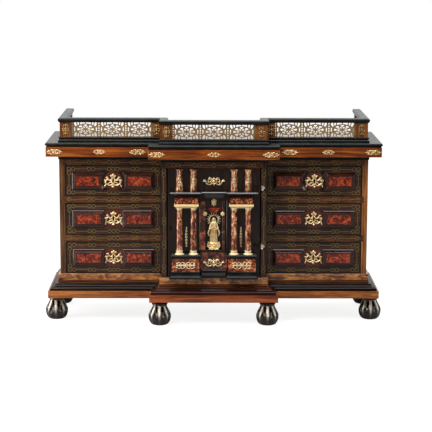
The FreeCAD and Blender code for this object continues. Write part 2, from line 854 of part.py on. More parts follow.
def drawer(side, row):
    """All pieces of one drawer, by node"""
    left, right, lower, upper = drawer_space(side, row)
    x0, x1 = left + drawer_side_clearance, right - drawer_side_clearance
    z0, z1 = lower + drawer_running_gap, upper - drawer_edge_clearance
    face = -wing_front
    inside_front = face + drawer_front_thickness
    rear = back_board_y - drawer_back_clearance
    bottom_z = z0 + drawer_bottom_rise
    bottom_top = bottom_z + drawer_bottom_thickness
    inner_left, inner_right = x0 + drawer_side_thickness, x1 - drawer_side_thickness
    bottom = box(inner_left - drawer_groove_depth, inner_right + drawer_groove_depth,
                 inside_front - drawer_groove_depth, rear, bottom_z, bottom_top)
    sides = [drawer_side(x0, inner_left, z0, z1, bottom_top, z1 - drawer_back_drop),
             drawer_side(inner_right, x1, z0, z1, bottom_top, z1 - drawer_back_drop)]
    back = box(x0, x1, rear - drawer_back_thickness, rear, bottom_top, z1 - drawer_back_drop)
    front = box(x0, x1, face, inside_front, lower + drawer_edge_clearance, z1)
    for board in sides:
        back = back.cut(board)
        front = front.cut(board)
    sides = [board.cut(bottom) for board in sides]

    middle_x, middle_z = (x0 + x1) / 2, (lower + upper) / 2
    lock_top = z1
    case = box(middle_x - lock_width / 2, middle_x + lock_width / 2, inside_front - lock_thickness,
               inside_front, middle_z - lock_height / 2, middle_z + lock_height / 2)
    flange = box(middle_x - lock_width / 2, middle_x + lock_width / 2, inside_front - lock_thickness,
                 inside_front, lock_top - lock_flange_thickness, lock_top)
    plate = box(middle_x - lock_width / 2, middle_x + lock_width / 2, inside_front - lock_flange_thickness,
                inside_front, middle_z + lock_height / 2, lock_top)
    lock = case.fuse(plate).fuse(flange).removeSplitter()
    front = front.cut(bottom).cut(lock)
    top_row = row == len(drawer_heights) - 1
    escutcheon_face = face - boss_rise if top_row else face
    keyway = keyhole(middle_x, middle_z, inside_front - lock_thickness, drawer_front_thickness)
    front = front.cut(keyway)

    panels, shells = [], []
    for way in (-1, 1):
        x = middle_x + way * panel_offset
        panel = raised_block(x, middle_z, panel_width, panel_height, face, panel_rise, panel_bevel)
        half_x = panel_width / 2 - panel_bevel - panel_rim
        half_z = panel_height / 2 - panel_bevel - panel_rim
        recess = box(x - half_x, x + half_x, face - panel_rise, face - panel_rise + shell_recess,
                     middle_z - half_z, middle_z + half_z)
        recess_floor = face - panel_rise + shell_recess
        shell = box(x - half_x, x + half_x, recess_floor - shell_thickness, recess_floor,
                    middle_z - half_z, middle_z + half_z)
        if top_row:
            scoop = disc(boss_radius + boss_gap, middle_x, middle_z, face, panel_rise)
            inner_scoop = disc(boss_radius + shell_boss_gap, middle_x, middle_z, face, panel_rise)
            shell = shell.cut(inner_scoop)
            recess = recess.cut(inner_scoop)
            panel = panel.cut(scoop)
        panels.append(panel.cut(recess))
        shells.append(shell)
    if top_row:
        boss = disc(boss_radius, middle_x, middle_z, face, boss_rise)
        panels.append(boss.cut(keyhole(middle_x, middle_z, face, boss_rise)))
    name = "drawer_" + ("left", "right")[side > 0] + ("_bottom", "_middle", "_top")[row]
    pierced = escutcheon(middle_x, middle_z + escutcheon_lift, escutcheon_face)
    return {name + "_box": sides + [back, bottom],
            name + "_front": [front] + panels,
            name + "_shell": shells,
            name + "_lock": [lock, pierced]}


# Door

def door_board():
    """Board with an arched niche sunk in its face and a pocket for its lock"""
    face, back = door_face_y, door_face_y + door_thickness
    board = box(-door_half_width, door_half_width, face, back, floor_z + door_gap, top_rail_z - door_gap)
    niche = box(-niche_half_width, niche_half_width, face, face + niche_depth, niche_sill_z, niche_spring_z)
    arch = disc(niche_half_width, 0, niche_spring_z, face + niche_depth, niche_depth)
    board = board.cut(niche.fuse(arch))
    keyway = keyhole(door_keyhole_inset - door_half_width, door_lock_z, back, door_thickness)
    return [board.cut(door_lock()[0]).cut(keyway)]


def door_lock():
    back = door_face_y + door_thickness
    z0, z1 = door_lock_z - door_lock_height / 2, door_lock_z + door_lock_height / 2
    inner_x = door_lock_width - door_half_width
    return [box(-door_half_width, inner_x, back - door_lock_thickness, back, z0, z1)]


def shell_blocks():
    """Tortoiseshell veneered blocks: pedestal dies, entablature blocks, niche sides and keystone"""
    face = door_face_y
    die = box(pedestal_inner_x, pedestal_outer_x, face - pedestal_reach, face, pedestal_die_z, pedestal_cap_z)
    block = box(entablature_inner_x, entablature_outer_x, face - entablature_reach, face,
                entablature_block_z, mid_cornice_z)
    strip = box(niche_half_width, niche_half_width + niche_strip_width, face - niche_strip_thickness, face,
                niche_sill_z, niche_strip_top_z)
    keystone = [(-keystone_foot_half_width, keystone_z), (keystone_foot_half_width, keystone_z),
                (keystone_top_half_width, keystone_z + keystone_height),
                (-keystone_top_half_width, keystone_z + keystone_height)]
    panel_half = pedestal_inner_x - pedestal_cap_lip
    panel = box(-panel_half, panel_half, face - lower_panel_thickness, face,
                lower_panel_z, niche_sill_z - sill_height)
    pairs = mirrored_pair(die) + mirrored_pair(block) + mirrored_pair(strip)
    return pairs + [front_prism(keystone, face, keystone_thickness), panel]


def ebony_mouldings():
    """Black bases and caps of the pedestals, the sill of the niche and the moulding between the bases"""
    face = door_face_y
    base = flared_block(pedestal_inner_x, pedestal_outer_x, face, pedestal_reach,
                        pedestal_base_z, pedestal_die_z, pedestal_flare)
    lip = pedestal_cap_lip
    cap = box(pedestal_inner_x - lip, pedestal_outer_x + lip, face - pedestal_reach - lip, face,
              pedestal_cap_z, column_base_z)
    sill_half = pedestal_inner_x - lip
    sill = box(-sill_half, sill_half, face - sill_reach, face, niche_sill_z - sill_height, niche_sill_z)
    low_half = pedestal_inner_x - pedestal_flare
    low = side_prism([(face, pedestal_base_z), (face - lower_moulding_reach, pedestal_base_z),
                      (face - lower_moulding_reach, pedestal_base_z + pedestal_flare),
                      (face - lower_panel_thickness, lower_panel_z), (face, lower_panel_z)],
                     -low_half, low_half)
    return mirrored_pair(base) + mirrored_pair(cap) + [sill, low]


def cornice_length(x0, x1, reach):
    """Length of the middle cornice: a cove under a square edge"""
    face = door_face_y
    edge_z = mid_cornice_top_z - mid_cornice_fillet
    neck = face - reach / 2
    cove = bowed((neck, mid_cornice_z + mid_cornice_fillet), (face - reach + mid_cornice_fillet, edge_z),
                 mid_cornice_hollow, moulding_steps)
    section = [(face, mid_cornice_z), (neck, mid_cornice_z)] + cove
    section += [(face - reach, edge_z), (face - reach, mid_cornice_top_z), (face, mid_cornice_top_z)]
    return side_prism(section, x0, x1)


def middle_cornice():
    ends = mirrored_pair(cornice_length(mid_cornice_inner_x, mid_cornice_outer_x, mid_cornice_reach))
    return ends + [cornice_length(-mid_cornice_inner_x, mid_cornice_inner_x, mid_cornice_centre_reach)]


def column_pieces(sections, sides):
    """The same turned piece for each of the four columns"""
    y = door_face_y - column_axis_reach
    return (mirrored_pair(turned(sections, column_inner_x, y, sides))
            + mirrored_pair(turned(sections, column_outer_x, y, sides)))


def column_shafts():
    return column_pieces([(column_radius, column_shaft_z), (column_radius, capital_z)], shaft_sides)


def bone_fittings():
    """Pale bases and capitals, and the band that each pair of capitals carries"""
    disc_top = column_base_z + column_base_disc
    collar_foot = column_shaft_z - column_base_collar
    base = [(column_base_radius, column_base_z), (column_base_radius, disc_top), (column_radius, collar_foot),
            (column_collar_radius, collar_foot), (column_collar_radius, column_shaft_z)]
    neck = (capital_z + entablature_band_z) / 2
    capital = [(column_collar_radius, capital_z), (column_collar_radius, neck), (capital_radius, neck),
               (capital_radius, entablature_band_z)]
    lip = entablature_lip
    band = box(entablature_inner_x - lip, entablature_outer_x + lip, door_face_y - entablature_reach - lip,
               door_face_y, entablature_band_z, entablature_block_z)
    return column_pieces(base, turned_sides) + column_pieces(capital, turned_sides) + mirrored_pair(band)


def upper_pilasters():
    """Half round pilasters over the middle cornice"""
    halves = []
    for x in (column_inner_x, column_outer_x):
        ends = (x - pilaster_radius, door_face_y), (x + pilaster_radius, door_face_y)
        outline = bowed(*ends, pilaster_radius, 2 * moulding_steps)
        halves += mirrored_pair(plan_prism(outline, mid_cornice_top_z, pilaster_top_z))
    return halves


def rosette(x, z, y_back):
    """Flat round mount with a petalled edge"""
    points = []
    for number in range(2 * rosette_petals):
        angle = math.pi * number / rosette_petals
        radius = rosette_radius - rosette_dip * (number % 2)
        points.append((x + radius * math.cos(angle), z + radius * math.sin(angle)))
    return front_prism(points, y_back, mount_thickness)


def door_mounts():
    """Gilt castings of the door"""
    face = door_face_y
    thick = mount_thickness
    pedestal_x = (pedestal_inner_x + pedestal_outer_x) / 2
    strip_x = (column_inner_x + column_outer_x) / 2
    die_z = (pedestal_die_z + pedestal_cap_z) / 2
    drop_z = (mid_cornice_top_z + pilaster_top_z) / 2
    mounts = [casting(cartouche_shares, door_mount_width, door_mount_height, 0, upper_mount_z, face, thick),
              casting(cartouche_shares, door_mount_width, door_mount_height, 0, lower_mount_z,
                      face - lower_panel_thickness, thick),
              casting(upright_shares, keystone_mount_width, keystone_mount_height, 0, keystone_mount_z,
                      face, keystone_thickness)]
    mounts += mirrored_pair(casting(strapwork_shares, pedestal_mount_width, pedestal_mount_height, pedestal_x,
                                    die_z, face - pedestal_reach, thick))
    mounts += mirrored_pair(rosette(rosette_x, rosette_z, face - niche_strip_thickness))
    mounts += mirrored_pair(casting(drop_shares, strip_mount_width, strip_mount_height, strip_x,
                                    strip_mount_z, face, thick))
    for x in (column_inner_x, column_outer_x):
        mounts += mirrored_pair(casting(drop_shares, drop_width, drop_height, x, drop_z,
                                        face - pilaster_radius, thick))
    return mounts


# Sections of the figure up to its neck, as shares: height, half width, half depth, depth of the folds
figure_section_shares = [(0.0, 1.0, 1.0, 0.0), (0.08, 1.0, 1.0, 0.0), (0.11, 0.7, 0.75, 0.0),
                         (0.2, 0.68, 0.72, 0.0), (0.24, 0.95, 1.0, 0.0), (0.28, 0.66, 0.8, 1.0),
                         (0.55, 0.6, 0.68, 1.0), (0.82, 0.76, 0.62, 0.0), (0.86, 0.24, 0.34, 0.0),
                         (0.89, 0.22, 0.34, 0.0)]
figure_shoulder_share = 0.8
head_section_shares = [(0.0, 0.5), (0.3, 0.95), (0.7, 0.95), (1.0, 0.4)]


def niche_figure():
    """Robed figure with folded hands on a moulded base, and a rayed halo behind its head"""
    back = door_face_y + niche_depth
    y = back - figure_half_depth - figure_standoff
    rings = []
    for height_share, width_share, depth_share, fold_share in figure_section_shares:
        z = niche_sill_z + figure_height * height_share
        rings.append(oval_ring(0, y, z, figure_half_width * width_share, figure_half_depth * depth_share,
                               figure_fold_depth * fold_share, figure_sides))
    chin_z = rings[-1][0].z
    head = [oval_ring(0, y, chin_z + figure_head_height * height_share, figure_head_half_width * share,
                      figure_head_half_width * share, 0, figure_sides)
            for height_share, share in head_section_shares]
    figure = carved(rings).fuse(carved(head))
    hands_z = niche_sill_z + figure_height * figure_hands_z_share
    shoulder_z = niche_sill_z + figure_height * figure_shoulder_share
    for side in (-1, 1):
        shoulder_x = side * (figure_half_width * figure_shoulder_share - figure_arm_radius)
        sleeve = [oval_ring(x, depth, z, figure_arm_radius, figure_arm_radius, 0, arm_sides)
                  for x, depth, z in ((0, y - figure_hands_reach, hands_z), (shoulder_x, y, shoulder_z))]
        figure = figure.fuse(carved(sleeve))
    halo_z = chin_z + figure_head_height / 2
    points = []
    for number in range(2 * halo_rays):
        angle = math.pi * number / halo_rays
        radius = (halo_ray_radius, halo_radius)[number % 2]
        points.append((radius * math.cos(angle), halo_z + radius * math.sin(angle)))
    halo = front_prism(points, back, halo_thickness)
    return [figure.removeSplitter().Solids[0], halo]


# Hinges

def hinge_knuckle(y, z0, z1):
    sections = [(hinge_barrel_radius, z0), (hinge_barrel_radius, z1)]
    return turned(sections, hinge_axis_x, y, shaft_sides)


def hinge_pieces(foot):
    """One lift-off hinge: a leaf on the cheek whose knuckle carries the pin, and a leaf on the door"""
    y = -(centre_front + hinge_axis_reach)
    top = foot + hinge_height
    middle = (foot + top) / 2
    plate_end = door_opening_half_width + hinge_leaf_width - hinge_barrel_radius
    plate = box(hinge_axis_x, plate_end, -centre_front - hinge_leaf_thickness, -centre_front, foot, middle)
    knuckle = hinge_knuckle(y, foot, middle)
    pin = rod(hinge_pin_radius, hinge_axis_x, y, middle, top)
    fixed = plate.fuse(knuckle).fuse(pin).removeSplitter()
    leaf_foot = middle + hinge_knuckle_gap
    leaf_end = column_outer_x + pilaster_radius + hinge_leaf_gap
    leaf = box(leaf_end, hinge_axis_x, door_face_y - hinge_leaf_thickness, door_face_y, leaf_foot, top)
    moving = leaf.fuse(hinge_knuckle(y, leaf_foot, top))
    bore = rod(hinge_pin_radius + hinge_pin_clearance, hinge_axis_x, y, leaf_foot, top)
    return fixed, moving.cut(bore).removeSplitter()


def build():
    hinges = [hinge_pieces(floor_z + rise) for rise in hinge_rises]
    nodes = {
        "feet": feet(),
        "plinth_core": plinth_core(),
        "plinth_band": plinth_band(),
        "plinth_ogee": plinth_ogee(),
        "plinth_burl_facing": plinth_burl(),
        "deck_board": [plan_prism(plan_corners(0, body_back), deck_z, floor_z)],
        "side_board_left": [side_board(1)],
        "side_board_right": [side_board(0)],
        "cheek_left": [cheek(1)],
        "cheek_right": [cheek(0)],
        "back_board": [box(-wing_outer_x, wing_outer_x, back_board_y, body_back, floor_z, top_board_z)],
        "front_rails": drawer_rails(),
        "dust_boards": dust_boards(),
        "centre_shelf": centre_shelf(),
        "top_board": [plan_prism(plan_corners(0, body_back), top_board_z, frieze_z)],
        "bed_mould": bed_mould(),
        "cornice_core": cornice_core(),
        "frieze": frieze(),
        "top_slab": top_slab(),
        "gilt_mounts": gilt_mounts(),
        "gallery_base_rail": gallery_rail(slab_top_z, fret_z),
        "gallery_posts": gallery_posts(),
        "gallery_frets": gallery_frets(),
        "gallery_top_rail": gallery_top_rail(),
        "hinge_plates_and_pins": [hinge[0] for hinge in hinges],
        "door_board": door_board(),
        "door_shell_blocks": shell_blocks(),
        "door_ebony_mouldings": ebony_mouldings(),
        "door_middle_cornice": middle_cornice(),
        "door_column_shafts": column_shafts(),
        "door_bone_fittings": bone_fittings(),
        "door_upper_pilasters": upper_pilasters(),
        "door_niche_figure": niche_figure(),
        "door_mounts": door_mounts(),
        "door_hinge_leaves": [hinge[1] for hinge in hinges],
        "door_lock": door_lock(),
    }
    for side in (-1, 1):
        for row in range(len(drawer_heights)):
            nodes.update(drawer(side, row))
    return nodes


os.makedirs("parts", exist_ok=True)
for node, solids in build().items():
    save(node, solids)
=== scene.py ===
import math

import bmesh
import bpy
from mathutils import Matrix, Vector


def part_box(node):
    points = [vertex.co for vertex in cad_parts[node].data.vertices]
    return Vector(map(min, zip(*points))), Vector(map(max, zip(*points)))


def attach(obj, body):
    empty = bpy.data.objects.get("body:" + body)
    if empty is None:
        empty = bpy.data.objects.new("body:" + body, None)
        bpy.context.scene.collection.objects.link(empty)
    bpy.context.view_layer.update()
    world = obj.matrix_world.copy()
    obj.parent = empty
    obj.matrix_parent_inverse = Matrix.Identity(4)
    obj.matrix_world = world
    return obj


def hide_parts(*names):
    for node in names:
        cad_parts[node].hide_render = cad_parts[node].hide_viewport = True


# The look of a breakfront table cabinet for coins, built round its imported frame. Blender works in metres, but
# the shapes here are drawn in millimetres, as in a workshop, and turned to metres when a piece is made.
# The front faces -Y, +Z is up, and the origin lies on the floor under the middle.

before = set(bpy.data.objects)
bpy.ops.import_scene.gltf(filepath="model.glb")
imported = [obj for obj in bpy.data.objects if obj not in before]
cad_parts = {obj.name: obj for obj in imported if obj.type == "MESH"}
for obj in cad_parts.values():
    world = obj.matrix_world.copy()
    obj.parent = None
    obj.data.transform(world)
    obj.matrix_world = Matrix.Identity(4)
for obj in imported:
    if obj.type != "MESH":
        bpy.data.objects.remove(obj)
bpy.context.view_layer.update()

MM = 0.001
SIDES = (-1, 1)


# Small tools

def linear(hex_colour):
    """An sRGB hex colour as linear red, green, blue and alpha"""
    channels = [int(hex_colour[start:start + 2], 16) / 255 for start in (1, 3, 5)]
    return [c / 12.92 if c <= 0.04045 else ((c + 0.055) / 1.055) ** 2.4 for c in channels] + [1.0]


def add(tree, kind, inputs=None, links=None, stops=None, **settings):
    """Adds a node: its properties, the values of its sockets, what feeds them, the stops of a colour ramp"""
    node = tree.nodes.new(kind)
    for name, value in settings.items():
        setattr(node, name, value)
    for socket, value in (inputs or {}).items():
        node.inputs[socket].default_value = value
    for socket, source in (links or {}).items():
        tree.links.new(source, node.inputs[socket])
    if stops:
        elements = node.color_ramp.elements
        while len(elements) < len(stops):
            elements.new(1.0)
        for element, (place, hex_colour) in zip(elements, stops):
            element.position = place
            element.color = linear(hex_colour)
    return node


def box_mm(node):
    """Lowest and highest corner of a CAD node, in millimetres"""
    low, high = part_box(node)
    return low / MM, high / MM


# Materials

def new_material(name, **constants):
    """A material with a Principled shader, whose constant values are set on its own sockets. Gives the
    material, its tree, its shader and the place in metres that its patterns follow"""
    material = bpy.data.materials.new(name)
    material.use_nodes = True
    tree = material.node_tree
    shader = tree.nodes["Principled BSDF"]
    for socket, value in constants.items():
        shader.inputs[socket.replace("_", " ").title().replace("Ior", "IOR")].default_value = value
    return material, tree, shader, add(tree, "ShaderNodeTexCoord").outputs["Object"]


def noise(tree, place, scale, detail=4.0, distortion=0.0, stretch=(1, 1, 1)):
    """Noise whose lumps are 1 / scale metres across, drawn out by the stretch"""
    spread = [scale / share for share in stretch]
    mapped = add(tree, "ShaderNodeMapping", {"Scale": spread}, {"Vector": place}).outputs["Vector"]
    return add(tree, "ShaderNodeTexNoise", {"Scale": 1.0, "Detail": detail, "Distortion": distortion},
               {"Vector": mapped}).outputs["Fac"]


def part_of(tree, vector, letter):
    """One of the three values of a vector"""
    return add(tree, "ShaderNodeSeparateXYZ", links={"Vector": vector}).outputs[letter]


def facing(tree, letter):
    """How much a surface faces along an axis, from -1 to 1"""
    return part_of(tree, add(tree, "ShaderNodeTexCoord").outputs["Normal"], letter)


def ranged(tree, value, start, stop, low=0.0, high=1.0):
    """A value between low and high, spread from start to stop and held there outside them"""
    limits = {"From Min": low, "From Max": high, "To Min": start, "To Max": stop}
    return add(tree, "ShaderNodeMapRange", limits, {"Value": value}).outputs["Result"]


def combined(tree, operation, first, second):
    """Two values put together by a Math node. The second may be a plain number"""
    inputs, links = ({1: second}, {0: first}) if isinstance(second, float) else ({}, {0: first, 1: second})
    return add(tree, "ShaderNodeMath", inputs, links, operation=operation).outputs["Value"]


def ramp(tree, factor, stops):
    """Colours along a value, at stops of a place and a hex colour"""
    return add(tree, "ShaderNodeValToRGB", links={"Fac": factor}, stops=stops).outputs["Color"]


def shaded(tree, colour, share):
    """A colour made darker or lighter by a share"""
    return add(tree, "ShaderNodeVectorMath", links={0: colour, "Scale": share},
               operation="SCALE").outputs["Vector"]


def mixed_vector(tree, factor, first, second):
    """First vector where the factor is 0 and the second where it is 1"""
    node = add(tree, "ShaderNodeMix", data_type="VECTOR")
    sockets = [socket for socket in node.inputs if socket.enabled]
    for socket, source in zip(sockets, (factor, first, second)):
        tree.links.new(source, socket)
    return [socket for socket in node.outputs if socket.enabled][0]


def finish(tree, shader, colour, rough, height, depth, radius):
    """Feeds a colour and a roughness to the shader, and a bump from a height, over edges that catch the light
    as if they were rounded by the radius"""
    edges = add(tree, "ShaderNodeBevel", {"Radius": radius}, samples=4).outputs["Normal"]
    bump = add(tree, "ShaderNodeBump", {"Distance": depth, "Strength": 1.0},
               {"Height": height, "Normal": edges})
    tree.links.new(colour, shader.inputs["Base Color"])
    if rough is not None:
        tree.links.new(rough, shader.inputs["Roughness"])
    tree.links.new(bump.outputs["Normal"], shader.inputs["Normal"])


# A normal that leans more than this along X belongs to a moulding on the side of the case
side_facing = 0.7
# What lies in front of this plane, in metres, belongs to the projecting middle of the plinth
middle_plane = -0.148


def wood(name, colours, along, streak, length, roughness, coat, figure=0.4, gloss=0.3, polish=0.12,
         arris=0.0007, planks=()):
    """Straight grained wood: streaks of a width and length in metres, lying along an axis.
    Along "run" follows a moulding round the corner: X on the front, Y on the sides. Planks are two tints, for
    the boards of the wings and of the projecting middle."""
    material, tree, shader, own_place = new_material(name, specular_ior_level=gloss, coat_weight=coat,
                                                     coat_roughness=polish)
    place, axis = own_place, along
    if along == "run":
        parts = add(tree, "ShaderNodeSeparateXYZ", links={"Vector": own_place}).outputs
        swapped = add(tree, "ShaderNodeCombineXYZ", links={"X": parts["Y"], "Y": parts["X"], "Z": parts["Z"]})
        sideways = add(tree, "ShaderNodeMath", links={0: facing(tree, "X")}, operation="ABSOLUTE")
        on_side = combined(tree, "GREATER_THAN", sideways.outputs["Value"], side_facing)
        place = mixed_vector(tree, on_side, own_place, swapped.outputs["Vector"])
        axis = "x"
    stretch = [length / streak if letter == axis else 1 for letter in "xyz"]
    streaks = noise(tree, place, 1 / streak, 7.0, figure, stretch)
    clouds = noise(tree, place, 9.0, 2.0)
    pores = noise(tree, place, 1 / (streak * 0.16), 2.0, 0.0, [share ** 0.75 for share in stretch])
    shade = combined(tree, "MULTIPLY", ranged(tree, clouds, 0.72, 1.25, 0.3, 0.7),
                     ranged(tree, pores, 0.7, 1.0, 0.35, 0.55))
    colour = shaded(tree, ramp(tree, streaks, list(zip((0.30, 0.44, 0.56, 0.72), colours))), shade)
    if planks:
        middle = combined(tree, "LESS_THAN", part_of(tree, own_place, "Y"), middle_plane)
        tint = ramp(tree, middle, list(zip((0.0, 1.0), planks)))
        colour = add(tree, "ShaderNodeVectorMath", links={0: colour, 1: tint},
                     operation="MULTIPLY").outputs["Vector"]
    rough = ranged(tree, pores, roughness + 0.1, roughness - 0.08)
    finish(tree, shader, colour, rough, pores, 0.00006, arris)
    return material


def ebonised_pear(name, specular, coat, painted_top_sheen):
    """Pear wood stained black and French polished: black, a grey-green sheen, brown where hands rubbed it, and
    a painted sheen: a lighter colour added in mottled patches where it looks up"""
    material, tree, shader, place = new_material(name, specular_ior_level=specular, coat_weight=coat,
                                                 coat_roughness=0.07)
    grain = noise(tree, place, 160.0, 5.0, 0.2, (6, 6, 1))
    rubbed = noise(tree, place, 22.0, 5.0, 0.5)
    colour = ramp(tree, rubbed, [(0.35, "#090c0a"), (0.55, "#121614"), (0.68, "#1a1b17"), (0.8, "#28221a")])
    # Painted sheen: a lighter, greener colour laid in mottled patches on faces that look up, standing for the
    # room's reflection in the tops
    mottle = ranged(tree, noise(tree, place, 70.0, 4.0, 1.0), 0.0, 1.0, 0.3, 0.75)
    share = combined(tree, "MULTIPLY", ranged(tree, facing(tree, "Z"), 0.0, 1.0, 0.9, 0.99), mottle)
    colour = add(tree, "ShaderNodeVectorMath", {1: linear(painted_top_sheen)[:3]}, {0: share, 2: colour},
                 operation="MULTIPLY_ADD").outputs["Vector"]
    finish(tree, shader, colour, ranged(tree, rubbed, 0.28, 0.5), grain, 0.00005, 0.0009)
    return material


def foot_wood_with_wear_and_painted_light():
    """The same black wood on the feet, lighter towards grey-white where its attribute is high: real wear on the
    carved ridges, with a painted highlight on the ridges and on the ring, and painted shade in the drilled
    holes
    """
    material, tree, shader, place = new_material("ebonised_pear_with_wear_and_painted_light", coat_weight=0.5, coat_roughness=0.12)
    wear_and_painted_light = add(tree, "ShaderNodeAttribute", attribute_name="wear_and_painted_light").outputs["Fac"]
    speckle = noise(tree, place, 320.0, 6.0, 1.0)
    patchy = combined(tree, "MULTIPLY", wear_and_painted_light, speckle)
    colour = ramp(tree, patchy, [(0.0, "#030202"), (0.1, "#16100c"), (0.26, "#463c30"), (0.4, "#8a8070"),
                                 (0.54, "#dcd8c8")])
    finish(tree, shader, colour, ranged(tree, patchy, 0.32, 0.6), speckle, 0.0002, 0.0004)
    return material


def burr_walnut():
    """Walnut burr veneer: golden brown, clouded, with dark eyes a few millimetres across"""
    material, tree, shader, place = new_material("burr_walnut_veneer", coat_weight=0.5, coat_roughness=0.14)
    clouds = noise(tree, place, 60.0, 7.0, 1.6, (2.2, 2.2, 1))
    eyes = add(tree, "ShaderNodeTexVoronoi", {"Scale": 140.0, "Randomness": 1.0}, {"Vector": place},
               feature="F1").outputs["Distance"]
    colour = ramp(tree, clouds, [(0.33, "#2a1409"), (0.44, "#744018"), (0.57, "#a26a2e"), (0.72, "#c8964c")])
    colour = shaded(tree, colour, ranged(tree, eyes, 0.45, 1.0, 0.08, 0.3))
    finish(tree, shader, colour, ranged(tree, clouds, 0.34, 0.24), clouds, 0.00004, 0.0007)
    return material


def shell_veneer(name, stops, lump, stretch=(1, 1, 1)):
    """Turtle shell over a coloured ground, rubbed and polished: a deep mottle under a hard glossy face"""
    material, tree, shader, place = new_material(name, specular_ior_level=0.3, coat_weight=0.5,
                                                 coat_roughness=0.06)
    clouds = noise(tree, place, 1 / lump, 4.0, 1.2, stretch)
    blots = noise(tree, place, 0.45 / lump, 3.0, 2.0, stretch)
    level = ranged(tree, combined(tree, "MULTIPLY", clouds, blots), 0.0, 1.0, 0.13, 0.38)
    finish(tree, shader, ramp(tree, level, stops), ranged(tree, clouds, 0.3, 0.16), blots, 0.0001, 0.0005)
    return material


def rubbed_metal(name, bright, worn, dull, roughness):
    """Metal, cast or cut from sheet: bright where it is touched, brown and dull where dirt stays"""
    material, tree, shader, place = new_material(name, metallic=1.0)
    shape = add(tree, "ShaderNodeNewGeometry").outputs["Pointiness"]
    tarnish = noise(tree, place, 90.0, 5.0, 0.4)
    pits = noise(tree, place, 700.0, 3.0)
    level = combined(tree, "MULTIPLY", ranged(tree, shape, 0.0, 1.0, 0.44, 0.54), tarnish)
    colour = ramp(tree, level, [(0.0, dull), (0.2, worn), (0.42, bright), (0.7, bright)])
    rough = ranged(tree, level, roughness + 0.2, roughness - 0.08)
    finish(tree, shader, colour, rough, pits, 0.00005, 0.0003)
    return material


def polished_bone(name, colours):
    """Bone, turned or sawn and polished: fine brown streaks and yellowed hollows"""
    material, tree, shader, place = new_material(name, coat_weight=0.2, coat_roughness=0.2,
                                                 subsurface_weight=0.1, subsurface_scale=0.001)
    streaks = noise(tree, place, 500.0, 4.0, 0.0, (1, 1, 8))
    age = noise(tree, place, 120.0, 4.0)
    colour = ramp(tree, combined(tree, "ADD", streaks, age), list(zip((0.3, 0.5, 0.62, 0.8), colours)))
    finish(tree, shader, colour, ranged(tree, age, 0.5, 0.32), streaks, 0.00004, 0.0004)
    return material


def forged_iron():
    """Old hinge and lock iron, filed and browned: dark grey with rust in its pits"""
    material, tree, shader, place = new_material("browned_iron", metallic=0.9)
    rust = noise(tree, place, 180.0, 6.0, 0.6)
    colour = ramp(tree, rust, [(0.35, "#17130f"), (0.5, "#2b2621"), (0.62, "#4a3326"), (0.75, "#6a4630")])
    finish(tree, shader, colour, ranged(tree, rust, 0.42, 0.75), rust, 0.0002, 0.0005)
    return material


def painted_keyhole_shade():
    """Painted shade for the dark inside of a keyhole: a near black, oiled iron that sends almost no light back
    """
    material, tree, shader, place = new_material("keyhole_painted_shade", roughness=0.8, specular_ior_level=0.1)
    dust = noise(tree, place, 400.0, 3.0)
    finish(tree, shader, ramp(tree, dust, [(0.4, "#020202"), (0.8, "#0c0907")]), None, dust, 0.0001, 0.0003)
    return material


# Each black wood's last colour is the painted sheen laid on its upward faces
ebony_look = ebonised_pear("ebonised_pear_wood", 0.12, 0.22, "#484c42")
# The field inside the gallery was never handled, and keeps a polish that mirrors the room
polished_look = ebonised_pear("polished_ebonised_pear", 0.5, 1.0, "#121410")
foot_look = foot_wood_with_wear_and_painted_light()
burr_look = burr_walnut()
bone_look = polished_bone("turned_bone", ("#4c3c20", "#8e7c4e", "#b8a878", "#dccfa8"))
# The bands over the columns have yellowed much more than the turned pieces
band_look = polished_bone("yellowed_bone", ("#5a4422", "#9a7e44", "#c2a664", "#dec890"))
iron_look = forged_iron()

# Rosewood veneer, knife cut and polished: near black lines 4 mm apart in a purplish brown ground
rosewood_colours = ("#0f0704", "#28170d", "#3e2515", "#583a22")
rosewood_across = wood("rosewood_veneer_across", rosewood_colours, "x", 0.004, 0.09, 0.36, 0.25, 0.8)
rosewood_upright = wood("rosewood_veneer_upright", rosewood_colours, "z", 0.004, 0.09, 0.36, 0.25, 0.8)
# The rails are cut from a lighter, mottled part of the log, and the door's ground from the darkest heartwood
rail_look = wood("mottled_rosewood_rails", ("#150a05", "#3c210f", "#583214", "#804e1c"), "x", 0.006, 0.04,
                 0.36, 0.25, 1.8)
door_ground_look = wood("dark_rosewood_door", ("#060302", "#150b07", "#24140c", "#3a2214"), "z", 0.004,
                        0.09, 0.36, 0.2, 0.8)
# Straight walnut, planed and oiled: orange brown, grain 3 mm apart running up the side boards
walnut_look = wood("oiled_walnut", ("#28160b", "#4a2e15", "#5e3d1e", "#76512a"), "z", 0.003, 0.08, 0.45, 0.1)
# Mahogany veneer, scraped and polished: orange brown with soft darker stripes along each moulding
mahogany_colours = ("#321405", "#6c310b", "#884410", "#a46020")
mahogany_run = wood("mahogany_veneer", mahogany_colours, "run", 0.006, 0.12, 0.34, 0.25, 0.9)
band_mahogany = wood("plinth_mahogany", ("#44200c", "#80461e", "#9c5f2c", "#b87a42"), "run", 0.006, 0.12,
                     0.34, 0.25, 0.9, planks=("#ffffff", "#eac8c8"))
# The bead over it is dark walnut, rubbed with wax and dull, redder on the projecting middle
bead_look = wood("waxed_walnut_bead", ("#241006", "#4c2810", "#643818", "#7c4c26"), "run", 0.004, 0.08, 0.5,
                 0.0, 0.6, 0.1, planks=("#d8d0cc", "#f6c8c0"))
# The right side board is given a lighter and more golden walnut colour than the left
golden_walnut_look = wood("golden_walnut", ("#422410", "#7a4820", "#98632e", "#b67c40"), "z", 0.003, 0.08,
                          0.45, 0.1)
